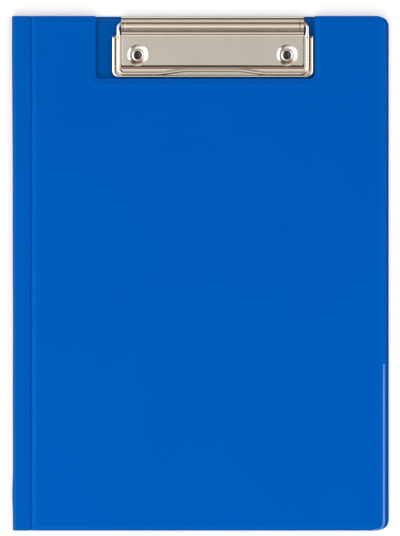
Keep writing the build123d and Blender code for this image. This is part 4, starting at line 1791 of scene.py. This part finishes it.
@dataclass
class Studio:
    """Pale floor, soft lamps, light tent and the camera, straight above the folder.

    Each of the tent's ramps gives its colour at places from -1 to 1 along a direction's share.
    """

    camera_x: float = -0.216
    camera_y: float = 3.25
    camera_height: float = 1300.0
    subject_height: float = 5.0
    frame_height: float = 331.2
    sensor: float = 36.0
    floor_half: float = 4000.0
    floor_drop: float = 0.1
    ambient: float = 0.39
    tent_strength: float = 3.04
    softboxes: tuple[Softbox, ...] = (
        Softbox("left_softbox", (-1.0, -0.25, 1.0), 1.1, 0.2, shiny=True),
        Softbox("right_softbox", (1.1, 0.0, 1.0), 1.0, 0.18),
        Softbox("rear_softbox", (0.1, 1.1, 0.9), 1.0, 0.05),
        Softbox("front_softbox", (-0.2, -1.2, 0.9), 1.0, 0.2),
    )
    tent_across: Stops = (
        (-1.0, "#303030"), (-0.94, "#383838"), (-0.88, "#FFFFFF"), (-0.6, "#FFFFFF"),
        (-0.35, "#E1E1E1"), (-0.12, "#BCBCBC"), (0.0, "#B3B3B3"), (0.1, "#B1B1B1"),
        (0.22, "#7C7C7C"), (0.56, "#7C7C7C"), (0.7, "#FFFFFF"), (1.0, "#FFFFFF"),
    )
    tent_along: Stops = (
        (-1.0, "#C4C0BC"), (-0.91, "#7C706C"), (-0.73, "#CBC7C4"), (-0.5, "#FFFCF8"),
        (-0.09, "#D6D4D1"), (0.105, "#CBC9C7"), (0.23, "#C8C5C1"), (0.36, "#856B59"),
        (0.53, "#7A604E"), (0.76, "#8A7466"), (0.86, "#B5A79C"), (0.94, "#F4F0EC"),
        (1.0, "#FFFFFF"),
    )
    tent_diagonal: Stops = (
        (-1.0, "#A8A8A8"), (-0.59, "#A8A8A8"), (-0.47, "#FFFFFF"),
        (0.47, "#FFFFFF"), (0.59, "#A8A8A8"), (1.0, "#A8A8A8"),
    )
    tent_upward: Stops = (
        (0.0, "#E0E0E0"), (0.3, "#E0E0E0"), (0.5, "#FFFFFF"), (1.0, "#FFFFFF"),
    )
    tent_narrowing: Stops = (
        (-1.0, "#000000"), (-0.5, "#000000"), (-0.25, "#FFFFFF"),
        (0.25, "#FFFFFF"), (0.5, "#000000"), (1.0, "#000000"),
    )

    def light_tent(self) -> None:
        """Builds the world: white to the camera, an even fill, and a tent that only reflections see.

        Metal sees the tent by the direction of its reflection. Its colour is the product of a
        ramp from left to right, one from front to back and one upwards. Far out to the left and
        right another ramp from front to back takes over, which is dark along the diagonals.
        """
        world = bpy.data.worlds.new("light_tent")
        bpy.context.scene.world = world
        world.use_nodes = True
        tree = world.node_tree
        tree.nodes.clear()
        towards = add_node(tree, "ShaderNodeTexCoord").outputs["Generated"]
        shares = add_node(tree, "ShaderNodeSeparateXYZ", {0: towards}).outputs
        tent = self.tent_ramp(tree, shares["X"], self.tent_across)
        tones = {
            0: self.tent_ramp(tree, shares["X"], self.tent_narrowing),
            LOW_TONE: self.tent_ramp(tree, shares["Y"], self.tent_diagonal),
            HIGH_TONE: self.tent_ramp(tree, shares["Y"], self.tent_along),
        }
        beside = add_node(tree, "ShaderNodeMix", tones, data_type="RGBA").outputs[2]
        for factor in (beside, self.tent_ramp(tree, shares["Z"], self.tent_upward)):
            tones = {0: 1.0, LOW_TONE: tent, HIGH_TONE: factor}
            tent = add_node(tree, "ShaderNodeMix", tones, data_type="RGBA", blend_type="MULTIPLY").outputs[2]
        white = linear("#FFFFFF")
        fill, shiny, seen = (
            add_node(tree, "ShaderNodeBackground", {"Color": colour, "Strength": strength}).outputs[0]
            for colour, strength in ((white, self.ambient), (tent, self.tent_strength), (white, 1.0))
        )
        ray = add_node(tree, "ShaderNodeLightPath").outputs
        lit = add_node(tree, "ShaderNodeMixShader", {0: ray["Is Glossy Ray"], 1: fill, 2: shiny}).outputs[0]
        through = {0: ray["Is Camera Ray"], 1: ray["Is Transmission Ray"]}
        clear = add_node(tree, "ShaderNodeMath", through, operation="MAXIMUM").outputs[0]
        last = add_node(tree, "ShaderNodeMixShader", {0: clear, 1: lit, 2: seen}).outputs[0]
        add_node(tree, "ShaderNodeOutputWorld", {0: last})

    def tent_ramp(self, tree: Tree, value: Socket, stops: Stops) -> Socket:
        """Turns a direction's share into the tent's colour.

        Args:
            tree: Node tree of the world.
            value: The share, from -1 to 1.
            stops: Places from -1 to 1, each with its colour.

        Returns:
            The colour's socket.
        """
        share = add_node(tree, "ShaderNodeMapRange", {"Value": value, "From Min": -1.0, "From Max": 1.0})
        ramp = add_node(tree, "ShaderNodeValToRGB", {0: share.outputs[0]})
        elements = ramp.color_ramp.elements
        while len(elements) < len(stops):
            elements.new(0.5)
        for element, (place, colour) in zip(elements, stops):
            element.position = (place + 1) / 2
            element.color = linear(colour)
        return ramp.outputs[0]

    def floor(self) -> None:
        """Lays a white paper sweep, which shows white to the camera and keeps the folder's shadow."""
        reach = np.linspace(-self.floor_half, self.floor_half, 9)
        skin = Surface()
        skin.grid(at_level(crossed(reach, reach), -self.floor_drop), flip=True)
        skin.piece("paper_sweep", PaperSweep().material())

    def camera(self) -> None:
        """Sets the camera above the folder, with a lens that frames the picture's height."""
        data = bpy.data.cameras.new("camera")
        data.sensor_width = self.sensor
        distance = self.camera_height - self.subject_height
        data.lens = self.sensor * distance / self.frame_height
        camera = bpy.data.objects.new("camera", data)
        camera.location = (self.camera_x * MM, self.camera_y * MM, self.camera_height * MM)
        bpy.context.scene.collection.objects.link(camera)
        bpy.context.scene.camera = camera

    def build(self) -> None:
        """Makes the floor, the lamps, the tent and the camera."""
        self.floor()
        for softbox in self.softboxes:
            softbox.build()
        self.light_tent()
        self.camera()
        bpy.context.scene.view_settings.view_transform = "Standard"
        LOG.info("studio: floor, four lamps, light tent and camera")


def dress(piece: Piece, body: Body, slot: Slot, *nodes: str) -> None:
    """Lets a piece ride on its body and hides the CAD nodes that it stands for.

    Args:
        piece: New piece, in its place.
        body: CAD body that it moves with.
        slot: Material slot of the record. Not used.
        nodes: CAD nodes that it replaces.
    """
    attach(piece, body.value)
    if nodes:
        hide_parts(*nodes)
    LOG.info("%s: %d faces, rides on %s", piece.name, len(piece.data.polygons), body.value)


def dress_bend(
    piece: Piece,
    bodies: tuple[Body, Body],
    start: Triple,
    end: Triple,
    *nodes: str,
) -> None:
    """Bakes the place of a film piece into its mesh and hides the CAD nodes that it stands for.

    Args:
        piece: New piece, in its place.
        bodies: CAD bodies that its two ends move with. Not used.
        start: Place in metres up to which it moves with the first body. Not used.
        end: Place in metres from which it moves with the second body. Not used.
        nodes: CAD nodes that it replaces.
    """
    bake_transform(piece)
    if nodes:
        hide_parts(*nodes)


def refinish(frame: dict, node: str, material: Material) -> None:
    """Gives a CAD node that stays its finish.

    Args:
        frame: The loaded CAD model.
        node: Name of the node.
        material: Its finish.
    """
    mesh = frame["nodes"][node].data
    mesh.materials.clear()
    mesh.materials.append(material)
    LOG.info("%s keeps its CAD shape", node)


def main() -> None:
    """Builds the folder's looks round its frame, in the order in which it is put together."""
    logging.basicConfig(level=logging.INFO, format="%(message)s")
    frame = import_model()
    sizes = FolderSizes()
    film = CalenderedFilm().material()
    # The lining is a deeper blue than the outer film, partly as a sheet of its own and partly as painted
    # shade of the clip's notch.
    shaded_lining = CalenderedFilm("calendered_blue_pvc_lining_with_painted_shade", "#0054AE", "#0050A8").material()
    clear = ClearFilm().material()
    bead = ClearFilm("clear_pvc_melted_over_blue", "#4D97E8", clearness=0.15, ripple=2.5).material()
    board = Greyboard().material()
    plate = BrightNickel("bright_nickel_on_pressed_steel").material()
    wire = BrightNickel("bright_nickel_on_drawn_wire", roughness=0.08, grain_depth=0.002).material()
    # Dark steel of painted shade, for the clip's gaps, seams and bores.
    painted_shade = ShadePaintedSteel().material()
    BackPanel(sizes, film, shaded_lining, board).build(frame)
    Spine(sizes, film, shaded_lining).build()
    FrontCover(sizes, film, shaded_lining, clear, bead, board).build(frame)
    BasePlate(plate, painted_shade).build()
    Rivets(plate, painted_shade).build()
    Bail(wire).build()
    Jaw(plate).build()
    Studio().build()


if __name__ == "__main__":
    main()
